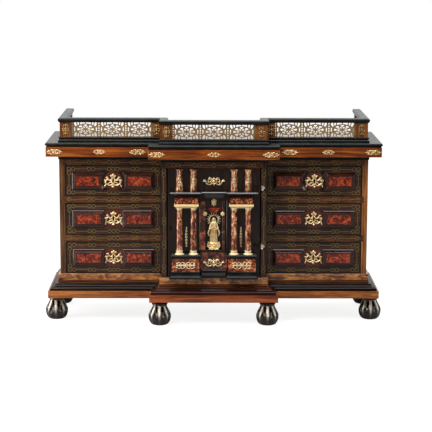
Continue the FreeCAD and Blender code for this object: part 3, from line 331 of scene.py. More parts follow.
# The gallery posts are a duller mahogany than the frieze, with its grain upright
mahogany_upright = wood("mahogany_upright", ("#2e1508", "#5c3315", "#764520", "#8f5a2c"), "z", 0.005, 0.06,
                        0.34, 0.25, 0.9)
# The big round of the plinth is mahogany stained almost black, so that red shows only where the light falls
stained_look = wood("stained_mahogany", ("#0c0403", "#1e0b06", "#30130c", "#462015"), "run", 0.005, 0.12,
                    0.34, 0.3, 0.5, 0.05, 0.06, planks=("#8c908c", "#ffffff"))
# Mouldings round the shell panels: rosewood stained darker and polished hard, so edges draw bright lines
frame_look = wood("dark_panel_mouldings", ("#120604", "#27100b", "#3a1b13", "#52301f"), "x", 0.003, 0.06, 0.3,
                  1.0, 0.6, 0.05, 0.05, 0.0002)
# Reddish patches behind the escutcheons: kingwood cut across, a red brown with fine dark lines
kingwood_look = wood("kingwood_patch", ("#240a05", "#461509", "#5d2411", "#74351b"), "z", 0.002, 0.03, 0.35,
                     0.5)
# Softwood and oak of the inside, sawn and planed, never polished: pale, dusty and browned by age
carcass_colours = ("#5a3e26", "#8b643e", "#a57c50", "#b98f64")
carcass_across = wood("carcass_wood_across", carcass_colours, "x", 0.004, 0.15, 0.7, 0.0)
carcass_deep = wood("carcass_wood_deep", carcass_colours, "y", 0.004, 0.15, 0.7, 0.0)

# Turtle shell: backed with red on the drawers, browner beside the niche, clearer and orange on the
# pedestals, and pale with long brown spots on the columns. Its clouds are 8 to 20 mm across
red_shell = shell_veneer("red_turtle_shell", [(0.0, "#2a0805"), (0.3, "#581609"), (0.55, "#7e270f"),
                                              (0.9, "#ae4c20")], 0.009)
dark_shell = shell_veneer("dark_turtle_shell", [(0.0, "#140805"), (0.35, "#38180d"), (0.6, "#602a18"),
                                                (0.95, "#9c5834")], 0.020)
pedestal_shell = shell_veneer("orange_turtle_shell", [(0.0, "#0e0402"), (0.34, "#451808"), (0.6, "#8e401e"),
                                                      (0.95, "#d48854")], 0.008)
column_shell = shell_veneer("column_turtle_shell", [(0.0, "#180804"), (0.22, "#5a2614"), (0.5, "#8e4c32"),
                                                    (0.95, "#e8be88")], 0.009, (1, 1, 1.8))

# Cast brass mounts, fire gilt: pale gold with brown hollows. Sheet brass of gallery and inlay is duller
gilt_look = rubbed_metal("fire_gilt_brass", "#fff0c4", "#cca250", "#33220c", 0.32)
# Those of the frieze are a little more rubbed, and those of the posts are worn to brown
frieze_gilt_look = rubbed_metal("rubbed_gilt_brass", "#ecd4a0", "#9c783c", "#26180a", 0.34)
worn_look = rubbed_metal("worn_gilt_brass", "#ac9668", "#6e5636", "#281b0e", 0.42)
sheet_look = rubbed_metal("fretted_brass_sheet", "#c4a472", "#907244", "#523a1e", 0.4)
inlay_look = rubbed_metal("dull_brass_inlay", "#857a50", "#625a38", "#39321f", 0.55)
# The figure's gilt is brighter than that of the other mounts: painted light, so that it still shines in the
# shade of its niche
brightened_figure_look = rubbed_metal("gilt_figure_painted_brighter", "#fff4cc", "#e4bc6c", "#4c3416", 0.38)
# Filed and burnished steel of the hinges, seen as small white lights beside the door
steel_look = rubbed_metal("burnished_steel", "#f4f4f2", "#8c8a86", "#1c1a18", 0.24)
keyhole_shade_look = painted_keyhole_shade()

finishes = [
    (ebony_look, ["feet", "plinth_ogee", "bed_mould", "top_slab", "gallery_base_rail", "gallery_top_rail",
                  "door_ebony_mouldings", "door_middle_cornice"]),
    (mahogany_run, ["frieze"]),
    (band_mahogany, ["plinth_band"]),
    (mahogany_upright, ["gallery_posts"]),
    (burr_look, ["plinth_burl_facing"]),
    (walnut_look, ["side_board_left"]),
    (golden_walnut_look, ["side_board_right"]),
    (rosewood_upright, ["cheek_left", "cheek_right"]),
    (door_ground_look, ["door_board"]),
    (rail_look, ["front_rails"]),
    (carcass_across, ["plinth_core", "deck_board", "back_board", "dust_boards", "centre_shelf", "top_board",
                      "cornice_core"]),
    (gilt_look, ["gilt_mounts", "door_niche_figure", "door_mounts"]),
    (sheet_look, ["gallery_frets"]),
    (iron_look, ["hinge_plates_and_pins", "door_hinge_leaves", "door_lock"]),
    (pedestal_shell, ["door_shell_blocks"]),
    (column_shell, ["door_column_shafts", "door_upper_pilasters"]),
    (bone_look, ["door_bone_fittings"]),
]
drawer_names = [f"drawer_{side}_{row}" for side in ("left", "right") for row in ("bottom", "middle", "top")]
for drawer in drawer_names:
    finishes += [(rosewood_across, [drawer + "_front"]), (carcass_deep, [drawer + "_box"]),
                 (red_shell, [drawer + "_shell"]), (gilt_look, [drawer + "_lock"])]
for material, names in finishes:
    for name in names:
        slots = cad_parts[name].data.materials
        slots.clear()
        slots.append(material)


# Studio: white world and pale floor, a large soft light from the upper left, and weaker ones from the right,
# from above and close by on the left

def light(name, size, power, place, target, colour):
    """A soft lamp of a width and height in metres and a power in watts, at a place and aimed at a target"""
    data = bpy.data.lights.new(name, "AREA")
    data.shape = "RECTANGLE"
    data.size, data.size_y = size
    data.energy = power
    data.color = linear(colour)[:3]
    lamp = bpy.data.objects.new(name, data)
    lamp.location = place
    lamp.rotation_euler = (Vector(target) - Vector(place)).to_track_quat("-Z", "Y").to_euler()
    bpy.context.scene.collection.objects.link(lamp)


def studio():
    """White room behind and beside, darker in front, so that the black wood keeps its depth"""
    world = bpy.data.worlds.new("studio")
    world.use_nodes = True
    tree = world.node_tree
    direction = add(tree, "ShaderNodeTexCoord").outputs["Generated"]
    room = ranged(tree, part_of(tree, direction, "Y"), 0.03, 1.0, -0.75, 0.05)
    seen = add(tree, "ShaderNodeLightPath").outputs["Is Camera Ray"]
    tree.nodes["Background"].inputs["Color"].default_value = linear("#ffffff")
    tree.links.new(combined(tree, "MAXIMUM", room, seen), tree.nodes["Background"].inputs["Strength"])
    bpy.context.scene.world = world
    aim = (0.0, -0.1, 0.3)
    light("key", (1.2, 0.9), 58.0, (-1.3, -2.0, 2.3), aim, "#fff0de")
    light("fill", (1.6, 1.2), 20.0, (2.2, -2.2, 1.4), aim, "#fff2e4")
    light("overhead", (1.8, 0.6), 24.0, (0.0, -0.6, 1.9), aim, "#f6f4ff")
    light("left_strip", (0.56, 1.0), 14.0, (-1.35, -0.36, 0.5), (0.0, -0.36, 0.5), "#fff0f0")
    material, tree, shader, place = new_material("studio_floor", roughness=0.85)
    paper = ramp(tree, noise(tree, place, 3.0, 2.0), [(0.3, "#888888"), (0.7, "#8c8c8c")])
    tree.links.new(paper, shader.inputs["Base Color"])
    seen = add(tree, "ShaderNodeLightPath").outputs["Is Camera Ray"]
    shader.inputs["Emission Color"].default_value = linear("#ffffff")
    tree.links.new(combined(tree, "MULTIPLY", seen, 0.84), shader.inputs["Emission Strength"])
    half = 4.0
    corners = [(-half, -half, 0), (half, -half, 0), (half, half, 0), (-half, half, 0)]
    data = bpy.data.meshes.new("studio_floor")
    data.from_pydata(corners, [], [(0, 1, 2, 3)])
    data.materials.append(material)
    floor = bpy.data.objects.new("studio_floor", data)
    bpy.context.scene.collection.objects.link(floor)
    bpy.context.scene.view_settings.view_transform = "Standard"


def camera():
    """Long lens a little to the left and looking slightly down, as in the photograph"""
    pitch, yaw, roll = math.radians(9.861), math.radians(0.511), math.radians(0.188)
    data = bpy.data.cameras.new("camera")
    data.lens = 131.0
    data.sensor_width = 36.0
    turned_by = (Matrix.Rotation(-yaw, 4, "Z") @ Matrix.Rotation(math.pi / 2 - pitch, 4, "X")
                 @ Matrix.Rotation(roll, 4, "Z"))
    view = bpy.data.objects.new("camera", data)
    view.matrix_world = Matrix.Translation((-0.0345, -4.7307, 1.1251)) @ turned_by
    bpy.context.scene.collection.objects.link(view)
    bpy.context.scene.camera = view


# Shapes are (points, faces) in millimetres until a piece is made of them

def turns(count, start=0.0, step=0.0):
    """Angles in radians: in equal parts of a full round, or in steps from a start, both in degrees"""
    if step:
        return [math.radians(start + step * number) for number in range(count)]
    return [2 * math.pi * number / count for number in range(count)]


def oval(x, y, reach_x, reach_y, angles):
    """Points at angles round an oval"""
    return [(x + reach_x * math.cos(angle), y + reach_y * math.sin(angle)) for angle in angles]


def joined(shapes):
    """Several shapes as one"""
    points, faces = [], []
    for own_points, own_faces in shapes:
        start = len(points)
        points += own_points
        faces += [[start + corner for corner in face] for face in own_faces]
    return points, faces


def moved(shape, x=0.0, y=0.0, z=0.0, turn=0.0, across=1):
    """A shape mirrored left to right where across is -1, turned round the upright axis, then moved"""
    points, faces = shape
    cos, sin = math.cos(turn), math.sin(turn)
    placed = [(x + a * across * cos - b * sin, y + a * across * sin + b * cos, z + c) for a, b, c in points]
    return placed, faces


def skinned(rings, wrapped=False):
    """Skin over closed rings of points, with a face at each end, or wrapped round to join its first ring"""
    count = len(rings[0])
    points = [tuple(point) for ring in rings for point in ring]
    faces = []
    for row in range(len(rings) if wrapped else len(rings) - 1):
        here, there = row * count, (row + 1) % len(rings) * count
        for number in range(count):
            after = (number + 1) % count
            faces.append([here + number, here + after, there + after, there + number])
    if not wrapped:
        faces += [list(range(count)), list(range((len(rings) - 1) * count, len(rings) * count))]
    return points, faces


def smooth(points, steps):
    """Points on a soft curve through the given ones, which may have any number of values each"""
    ends = [points[0]] + list(points) + [points[-1]]
    curve = []
    for before, start, stop, after in zip(ends, ends[1:], ends[2:], ends[3:]):
        for step in range(steps):
            t = step / steps
            curve.append(tuple(0.5 * (2 * b + (c - a) * t + (2 * a - 5 * b + 4 * c - d) * t * t
                                      + (3 * b - 3 * c + d - a) * t ** 3)
                               for a, b, c, d in zip(before, start, stop, after)))
    return curve + [tuple(points[-1])]


def bowed(start, stop, bulge, steps=10):
    """Points from start to stop, standing off the straight line by the bulge half way along"""
    run = Vector(stop) - Vector(start)
    across = Vector((run.y, -run.x)).normalized()
    return [tuple(Vector(start) + run * (step / steps) + across * bulge * math.sin(math.pi * step / steps))
            for step in range(steps + 1)]


def grown(path, out, closed):
    """A path of plan points moved to its right by out, mitred at its corners"""
    count = len(path)
    places = [Vector(point) for point in path]
    result = []
    for number, place in enumerate(places):
        normals = []
        if number or closed:
            run = (place - places[number - 1]).normalized()
            normals.append(Vector((run.y, -run.x)))
        if number < count - 1 or closed:
            run = (places[(number + 1) % count] - place).normalized()
            normals.append(Vector((run.y, -run.x)))
        mitre = (normals[0] + normals[-1]).normalized()
        result.append(place + mitre * (out / mitre.dot(normals[0])))
    return result


def moulding(path, section, closed=False):
    """A moulding run along a plan path. The section gives how far out and how high each of its points is"""
    lines = [grown(path, out, closed) for out, height in section]
    rings = [[(line[number].x, line[number].y, height) for line, (out, height) in zip(lines, section)]
             for number in range(len(path))]
    return skinned(rings, wrapped=closed)


def upright(shape, face):
    """A shape drawn lying on its back, stood up against a face that looks forward"""
    points, faces = shape
    return [(x, face - height, z) for x, z, height in points], faces


def turned(section, x, y, sides):
    """A piece turned on an upright axis from its radii and heights"""
    return skinned([[(a, b, z) for a, b in oval(x, y, radius, radius, turns(sides))]
                    for radius, z in section])


def block(x0, x1, y0, y1, z0, z1):
    """A plain block between two corners"""
    return skinned([[(x0, y0, z), (x1, y0, z), (x1, y1, z), (x0, y1, z)] for z in (z0, z1)])


def run_across(profile, half_length):
    """A level moulding with plain ends, from its profile of y and z"""
    return skinned([[(x, y, z) for y, z in profile] for x in (-half_length, half_length)])


def piece(name, shape, material, body, replaced=(), crease=35.0, ease=0.0):
    """Makes a finished piece of a shape, with faces outwards, that rides on a body and replaces CAD nodes"""
    points, faces = shape
    data = bpy.data.meshes.new(name)
    data.from_pydata([(x * MM, y * MM, z * MM) for x, y, z in points], [], faces)
    work = bmesh.new()
    work.from_mesh(data)
    bmesh.ops.remove_doubles(work, verts=work.verts, dist=0.00001)
    bmesh.ops.dissolve_degenerate(work, edges=work.edges, dist=0.000005)
    bmesh.ops.recalc_face_normals(work, faces=work.faces)
    work.to_mesh(data)
    work.free()
    data.materials.append(material)
    for face in data.polygons:
        face.use_smooth = True
    data.set_sharp_from_angle(angle=math.radians(crease))
    made = bpy.data.objects.new(name, data)
    bpy.context.scene.collection.objects.link(made)
    if ease:
        rounding = made.modifiers.new("eased edges", "BEVEL")
        rounding.width = ease * MM
        rounding.segments = 2
        rounding.limit_method = "ANGLE"
        rounding.angle_limit = math.radians(crease)
    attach(made, body)
    if replaced:
        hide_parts(*replaced)
    return made


def evaluated_shape(holder):
    """What an object's modifiers make of it, as points and faces"""
    graph = bpy.context.evaluated_depsgraph_get()
    data = bpy.data.meshes.new_from_object(holder.evaluated_get(graph))
    shape = [tuple(vertex.co) for vertex in data.vertices], [list(face.vertices) for face in data.polygons]
    bpy.data.meshes.remove(data)
    own = holder.data
    bpy.data.objects.remove(holder)
    (bpy.data.meshes if isinstance(own, bpy.types.Mesh) else bpy.data.curves).remove(own)
    return shape


def fused(shape, voxel, passes=3):
    """Overlapping forms melted into one skin, as one casting, and softened a little"""
    points, faces = shape
    data = bpy.data.meshes.new("pattern")
    data.from_pydata(points, [], faces)
    work = bmesh.new()
    work.from_mesh(data)
    bmesh.ops.recalc_face_normals(work, faces=work.faces)
    work.to_mesh(data)
    work.free()
    holder = bpy.data.objects.new("pattern", data)
    bpy.context.scene.collection.objects.link(holder)
    melt = holder.modifiers.new("melt", "REMESH")
    melt.mode = "VOXEL"
    melt.voxel_size = voxel
    soften = holder.modifiers.new("soften", "SMOOTH")
    soften.factor = 0.5
    soften.iterations = passes
    return evaluated_shape(holder)


def stroke(points, base, rise=0.9, steps=5):
    """A half-round bar on a flat base of its own height, which stands on the plane y = 0. It runs through
    points of x, z and half width"""
    line = smooth(points, steps)
    rings = []
    for number, (x, z, half) in enumerate(line):
        before, after = line[max(number - 1, 0)], line[min(number + 1, len(line) - 1)]
        run = Vector((after[0] - before[0], after[1] - before[1])).normalized()
        side = Vector((-run.y, run.x))
        ring = [(x + side.x * half * math.cos(angle), -base - half * rise * math.sin(angle),
                 z + side.y * half * math.cos(angle)) for angle in [math.pi * step / 6 for step in range(7)]]
        rings.append(ring + [(ring[-1][0], 0.0, ring[-1][2]), (ring[0][0], 0.0, ring[0][2])])
    return skinned(rings)


def scroll(x, z, radius, start, sweep, width):
    """Points of a spiral from its outer end inwards, angles in degrees, which thins as it shrinks"""
    tip, shrink, count = 0.35, 0.3, 9
    points = []
    for number in range(count):
        share = number / (count - 1)
        angle = math.radians(start + sweep * share)
        reach = radius * (1 - (1 - shrink) * share)
        half = width * (1 - (1 - tip) * share)
        points.append((x + reach * math.cos(angle), z + reach * math.sin(angle), half))
    return points


def ring_bar(x, z, reach_x, reach_z, half, angles):
    """Points of a bar of one half width that bends round an oval"""
    return [(a, b, half) for a, b in oval(x, z, reach_x, reach_z, angles)]


def bead(x, z, radius, rise=1.0):
    """A round boss on the plane y = 0"""
    rings = []
    for lift in [math.pi / 2 * step / 5 for step in range(5)]:
        reach = radius * math.cos(lift)
        level = oval(x, z, reach, reach, turns(14))
        rings.append([(a, -radius * rise * math.sin(lift), b) for a, b in level])
    return skinned(rings)


def both_ways(strokes, base, rise=0.9):
    """Bars and their mirror images"""
    shapes = [stroke(points, base, rise) for points in strokes]
    return shapes + [moved(shape, across=-1) for shape in shapes]


def casting(shapes, voxel=0.5):
    """A relief casting with a flat back, melted from its forms"""
    points, faces = fused(joined(shapes), voxel)
    return [(x, min(y, 0.0), z) for x, y, z in points], faces


def all_placed(shape, places):
    """Copies of a shape at places of x, y, z, mirrored where x is left of the middle"""
    return joined([moved(shape, x, y, z, across=-1 if x < 0 else 1) for x, y, z in places])


# The case and its mouldings

slab_low, slab_high = box_mm("top_slab")
ogee_low, ogee_high = box_mm("plinth_ogee")
burl_low, burl_high = box_mm("plinth_burl_facing")
bed_low, bed_high = box_mm("bed_mould")
frieze_low, frieze_high = box_mm("frieze")
side_low, side_high = box_mm("side_board_right")
cheek_low, cheek_high = box_mm("cheek_right")
base_rail_low, base_rail_high = box_mm("gallery_base_rail")
top_rail_low, top_rail_high = box_mm("gallery_top_rail")

half_width = side_high.x
half_centre = cheek_high.x
wing_front = -side_low.y
centre_front = -cheek_low.y
body_back = side_high.y


def case_path(back):
    """The breakfront plan of the case, from the back left round the front to the back right"""
    return [(-half_width, back), (-half_width, -wing_front), (-half_centre, -wing_front),
            (-half_centre, -centre_front), (half_centre, -centre_front), (half_centre, -wing_front),
            (half_width, -wing_front), (half_width, back)]


def run_of_moulding(name, section, node, material):
    """A moulding of the case, from a section of how far out and how high, in place of its CAD node"""
    piece(name, moulding(case_path(body_back), section), material, "carcass", [node])


ogee_out = ogee_high.x - half_width
ogee_top, ogee_inner = 14.0, 9.0
run_of_moulding("plinth_ogee_moulding",
                [(ogee_inner, ogee_low.z)]
                + bowed((ogee_out, ogee_low.z + 1.5), (18.6, ogee_low.z + 11.8), 3.2, 14)
                + bowed((18.2, ogee_low.z + 12.0), (ogee_top + 1.6, ogee_high.z - 4.2), -0.2, 4)
                + [(ogee_top + 0.4, ogee_high.z - 3.0), (ogee_top - 0.6, ogee_high.z),
                   (ogee_inner, ogee_high.z)],
                "plinth_ogee", stained_look)
burl_out = 6.0
run_of_moulding("plinth_burr_facing",
                [(0.0, burl_low.z + 8.0), (burl_out - 0.6, burl_low.z + 8.6), (burl_out, burl_low.z + 9.4),
                 (burl_out, burl_high.z - 0.6), (burl_out - 0.6, burl_high.z), (0.0, burl_high.z)],
                "plinth_burl_facing", burr_look)
bead_section = [(0.0, burl_low.z)]
bead_section += bowed((burl_out - 1.0, burl_low.z + 0.2), (burl_out - 1.0, burl_low.z + 8.0), 3.2, 12)
bead_section += [(0.0, burl_low.z + 8.2)]
piece("plinth_bead", moulding(case_path(body_back), bead_section), bead_look, "carcass")
bed_out = bed_high.x - half_width
run_of_moulding("cornice_bed_moulding",
                [(0.0, bed_low.z), (1.6, bed_low.z), (2.2, bed_low.z + 0.5), (2.2, bed_low.z + 1.8)]
                + bowed((2.4, bed_low.z + 2.0), (bed_out - 0.5, bed_high.z - 2.4), -2.4)
                + [(bed_out, bed_high.z - 2.0), (bed_out, bed_high.z), (0.0, bed_high.z)],
                "bed_mould", ebony_look)

slab_out = slab_high.x - half_width
slab_back = slab_high.y


def top_board():
    """Moulded top: a thumb edge over a hollow along the sides and front, square at the back"""
    rim_inner = slab_out - 50.0
    edge = [(slab_out - 5.0, slab_low.z), (slab_out - 4.0, slab_low.z + 0.8),
            (slab_out - 4.0, slab_low.z + 3.0)]
    edge += bowed((slab_out - 3.4, slab_low.z + 3.6), (slab_out - 0.3, slab_low.z + 5.0), -0.8, 5)
    edge += bowed((slab_out - 0.32, slab_low.z + 5.6), (slab_out - 2.6, slab_high.z), 1.3, 10)
    section = edge + [(rim_inner, slab_high.z), (rim_inner, slab_low.z)]
    rim = moulding(case_path(slab_back), section)
    inside = [(point.x, point.y) for point in grown(case_path(slab_back), rim_inner, False)]
    field = skinned([[(x, y, z) for x, y in inside] for z in (slab_low.z, slab_high.z)])
    piece("top_board_rim", rim, ebony_look, "carcass", ["top_slab"])
    piece("top_board_field", field, polished_look, "carcass")


top_board()

rail_lip = 5.0
gallery_front_out = 14.0
gallery_half = top_rail_high.x - rail_lip
gallery_centre = half_centre + 1.0
gallery_wing_front = wing_front + gallery_front_out
gallery_centre_front = centre_front + gallery_front_out
post_depth = 16.0


def gallery_path():
    """The breakfront plan of the gallery, along the outer face of its posts"""
    return [(-gallery_half, slab_back), (-gallery_half, -gallery_wing_front),
            (-gallery_centre, -gallery_wing_front), (-gallery_centre, -gallery_centre_front),
            (gallery_centre, -gallery_centre_front), (gallery_centre, -gallery_wing_front),
            (gallery_half, -gallery_wing_front), (gallery_half, slab_back)]


def gallery_rails():
    """Black rails under and over the pierced panels: a hollow and bead below, a flattened round above"""
    lip, depth = rail_lip, post_depth + rail_lip
    z0, z1 = base_rail_low.z, base_rail_high.z
    hollow = bowed((lip, z0 + 5.0), (lip - 2.5, z1 - 4.0), -1.6, 8)
    section = [(lip - 0.6, z0), (lip, z0 + 0.6), (lip, z0 + 4.4)] + hollow
    section += bowed((lip - 2.2, z1 - 3.6), (lip - 2.2, z1 - 0.2), 1.2, 8) + [(lip - 2.8, z1)]
    section += [(-depth + 2.8, z1), (-depth, z1 - 3.0), (-depth, z0)]
    piece("gallery_base_moulding", moulding(gallery_path(), section), ebony_look, "carcass",
          ["gallery_base_rail"])
    z0, z1 = top_rail_low.z, top_rail_high.z
    section = [(lip - 3.0, z0), (lip - 2.0, z0 + 0.4), (lip - 2.0, z0 + 2.0)]
    section += bowed((lip - 1.2, z0 + 2.6), (lip - 3.0, z1), 2.4, 12)
    section += bowed((-depth + 3.0, z1), (-depth + 1.2, z0 + 2.6), 2.4, 12)
    section += [(-depth + 2.0, z0 + 2.0), (-depth + 2.0, z0 + 0.4), (-depth + 3.0, z0)]
    piece("gallery_top_moulding", moulding(gallery_path(), section), ebony_look, "carcass",
          ["gallery_top_rail"])


gallery_rails()


# Pierced gallery panels: one motif of openings, repeated along each panel by a node tree

fret_low, fret_high = box_mm("gallery_frets")
motif_length = 74.0


def motif_openings(half_length, half_height):
    """Outlines of the openings of one motif: two rows of eight petals about a star, slits and corners round
    their oval ring, a lens at each side of it, and a column of small holes at the motif's left end"""
    half_drawn, half_drawn_height = 37.0, 21.75
    wide, tall = half_length / half_drawn, half_height / half_drawn_height
    inner = [(0.24, 0.0), (0.38, -11.0), (0.54, -12.0), (0.64, 0.0), (0.54, 12.0), (0.38, 11.0)]
    outer = [(0.52, 0.0), (0.70, -8.0), (0.86, -14.0), (0.96, -12.0), (1.0, 0.0), (0.96, 12.0), (0.86, 14.0),
             (0.70, 8.0)]
    loops = []
    for number in range(8):
        for outline, middle in ((inner, 45.0 * number + 22.5), (outer, 45.0 * number)):
            loops.append([(23.0 * share * math.cos(math.radians(middle + turn)),
                           14.6 * share * math.sin(math.radians(middle + turn))) for share, turn in outline])
    ring_x, ring_z, edge_z = 26.0, 17.0, 20.4
    for side in SIDES:
        for way in SIDES:
            slit = [(x, ring_z * math.sqrt(1 - (x / ring_x) ** 2)) for x in (1.2, 4.0, 7.5, 11.0, 14.0)]
            slit += [(15.4, edge_z), (1.2, edge_z)]
            corner = [(17.8, edge_z), (17.6, 14.0), (21.2, 11.8), (23.0, edge_z)]
            spandrel = [(25.4, edge_z), (24.0, 10.6), (26.6, 8.6), (29.2, 11.6), (31.2, 15.8), (31.4, edge_z)]
            loops += [[(side * x, way * z) for x, z in outline] for outline in (slit, corner, spandrel)]
        loops.append([(side * x, z) for x, z in oval(30.0, 0.0, 1.6, 6.8, turns(12))])
    loops += [oval(-half_drawn, z, 2.0, 2.4, turns(10)) for z in (-17.6, -10.6, -3.6, 3.6, 10.6, 17.6)]
    return [[(x * wide, z * tall) for x, z in loop] for loop in loops]


def outlines(name, loops):
    """Closed flat outlines as one curve"""
    curve = bpy.data.curves.new(name, "CURVE")
    curve.dimensions = "2D"
    for loop in loops:
        spline = curve.splines.new("POLY")
        spline.points.add(len(loop) - 1)
        for point, (x, y) in zip(spline.points, loop):
            point.co = (x, y, 0.0, 1.0)
        spline.use_cyclic_u = True
    return bpy.data.objects.new(name, curve)


def plate(loops, thickness):
    """A flat plate lying on its back, cut to its outline and pierced by the loops inside it"""
    holder = outlines("plate", loops)
    holder.data.fill_mode = "BOTH"
    holder.data.extrude = thickness / 2
    bpy.context.scene.collection.objects.link(holder)
    points, faces = evaluated_shape(holder)
    return [(x, y, z + thickness / 2) for x, y, z in points], faces


def new_tree(name, inputs):
    """An empty geometry node tree with named inputs of the given kinds"""
    tree = bpy.data.node_groups.new(name, "GeometryNodeTree")
    tree.interface.new_socket("Geometry", in_out="INPUT", socket_type="NodeSocketGeometry")
    tree.interface.new_socket("Geometry", in_out="OUTPUT", socket_type="NodeSocketGeometry")
    for label, kind in inputs:
        tree.interface.new_socket(label, in_out="INPUT", socket_type=kind)
    return tree, add(tree, "NodeGroupInput").outputs, add(tree, "NodeGroupOutput")


def joined_geometry(tree, first, second):
    """Two geometries as one"""
    join = add(tree, "GeometryNodeJoinGeometry")
    tree.links.new(first, join.inputs[0])
    tree.links.new(second, join.inputs[0])
    return join.outputs[0]


def end_tree(tree, geometry, metal, result):
    """Ends a tree: its instances made real and given their material"""
    real = add(tree, "GeometryNodeRealizeInstances", links={"Geometry": geometry}).outputs[0]
    coloured = add(tree, "GeometryNodeSetMaterial", links={"Geometry": real, "Material": metal})
    tree.links.new(coloured.outputs[0], result.inputs[0])


def grown_by(tree, holder, values):
    """What a node tree makes of an object, with the tree's inputs set by their identifiers"""
    modifier = holder.modifiers.new(tree.name, "NODES")
    modifier.node_group = tree
    for socket in tree.interface.items_tree:
        if socket.in_out == "INPUT" and socket.name in values:
            modifier[socket.identifier] = values[socket.name]
    bpy.context.scene.collection.objects.link(holder)
    return evaluated_shape(holder)


def pierced_tree():
    """Motifs laid in a row, cut out of a strip, and the strip given its thickness"""
    tree, given, result = new_tree("pierced_panel", [
        ("Motifs", "NodeSocketInt"), ("Motif Length", "NodeSocketFloat"), ("Height", "NodeSocketFloat"),
        ("Thickness", "NodeSocketFloat"), ("Metal", "NodeSocketMaterial")])
    step = add(tree, "ShaderNodeCombineXYZ", links={"X": given["Motif Length"]}).outputs["Vector"]
    row = add(tree, "GeometryNodeMeshLine", links={"Count": given["Motifs"], "Offset": step}).outputs["Mesh"]
    laid = add(tree, "GeometryNodeInstanceOnPoints", links={"Points": row, "Instance": given["Geometry"]})
    holes = add(tree, "GeometryNodeRealizeInstances", links={"Geometry": laid.outputs["Instances"]})
    length = combined(tree, "MULTIPLY", given["Motifs"], given["Motif Length"])
    strip = add(tree, "GeometryNodeCurvePrimitiveQuadrilateral",
                links={"Width": length, "Height": given["Height"]}).outputs["Curve"]
    shift = combined(tree, "MULTIPLY", combined(tree, "SUBTRACT", length, given["Motif Length"]), 0.5)
    middle = add(tree, "ShaderNodeCombineXYZ", links={"X": shift}).outputs["Vector"]
    centred = add(tree, "GeometryNodeTransform", links={"Geometry": strip, "Translation": middle}).outputs[0]
    drawn = joined_geometry(tree, holes.outputs[0], centred)
    sheet = add(tree, "GeometryNodeFillCurve", links={"Curve": drawn}).outputs["Mesh"]
    up = add(tree, "ShaderNodeCombineXYZ", links={"Z": given["Thickness"]}).outputs["Vector"]
    raised = add(tree, "GeometryNodeExtrudeMesh", {"Individual": False}, {"Mesh": sheet, "Offset": up})
    under = add(tree, "GeometryNodeFlipFaces", links={"Mesh": sheet}).outputs["Mesh"]
    whole = joined_geometry(tree, raised.outputs["Mesh"], under)
    merged = add(tree, "GeometryNodeMergeByDistance", {"Distance": 0.001}, {"Geometry": whole})
    end_tree(tree, merged.outputs[0], given["Metal"], result)
    return tree


def gallery_panels():
    """Five panels of sheet brass in the middle of the posts' depth"""
    tree = pierced_tree()
    height, thickness = fret_high.z - fret_low.z, 2.0
    # How far a panel's end is from a front corner, from the step of the middle, and, at the sides, from the
    # corner's post and from the back
    corner_gap, step_gap, side_gap, back_gap = 36.0, 25.0, 20.0, 25.0
    wing_inner, wing_outer = gallery_centre + step_gap, gallery_half - corner_gap
    side_front, side_back = post_depth + side_gap - gallery_wing_front, slab_back - back_gap
    inset = post_depth / 2 + thickness / 2
    middle_z = (fret_low.z + fret_high.z) / 2
    places = [(2 * (gallery_centre - corner_gap), 0.0, inset - gallery_centre_front, 0.0)]
    for side in SIDES:
        places.append((wing_outer - wing_inner, side * (wing_inner + wing_outer) / 2,
                       inset - gallery_wing_front, 0.0))
        places.append((side_back - side_front, side * (gallery_half - post_depth / 2) + thickness / 2,
                       (side_front + side_back) / 2, math.pi / 2))
    panels = []
    for length, x, y, turn in places:
        count = max(1, round(length / motif_length))
        each = length / count
        holder = outlines("motif", motif_openings(each / 2, height / 2))
        flat = grown_by(tree, holder, {"Motifs": count, "Motif Length": each, "Height": height,
                                       "Thickness": thickness, "Metal": sheet_look})
        start = (count - 1) * each / 2
        standing = [(a - start, -c, b) for a, b, c in flat[0]], flat[1]
        panels.append(moved(standing, x, y, middle_z, turn))
    piece("gallery_pierced_panels", joined(panels), sheet_look, "carcass", ["gallery_frets"])


gallery_panels()


# Feet

foot_height = box_mm("plinth_band")[0].z
foot_side_x, foot_centre_x = half_width + 14.0, half_centre + 5.0
foot_wing_set_back, foot_centre_forward, foot_back_inset = 15.0, 4.0, 22.0
foot_places = [(side * x, y) for side in SIDES
               for x, y in ((foot_side_x, -wing_front + foot_wing_set_back),
                            (foot_centre_x, -centre_front - foot_centre_forward),
                            (foot_side_x, body_back - foot_back_inset))]
claws = 8


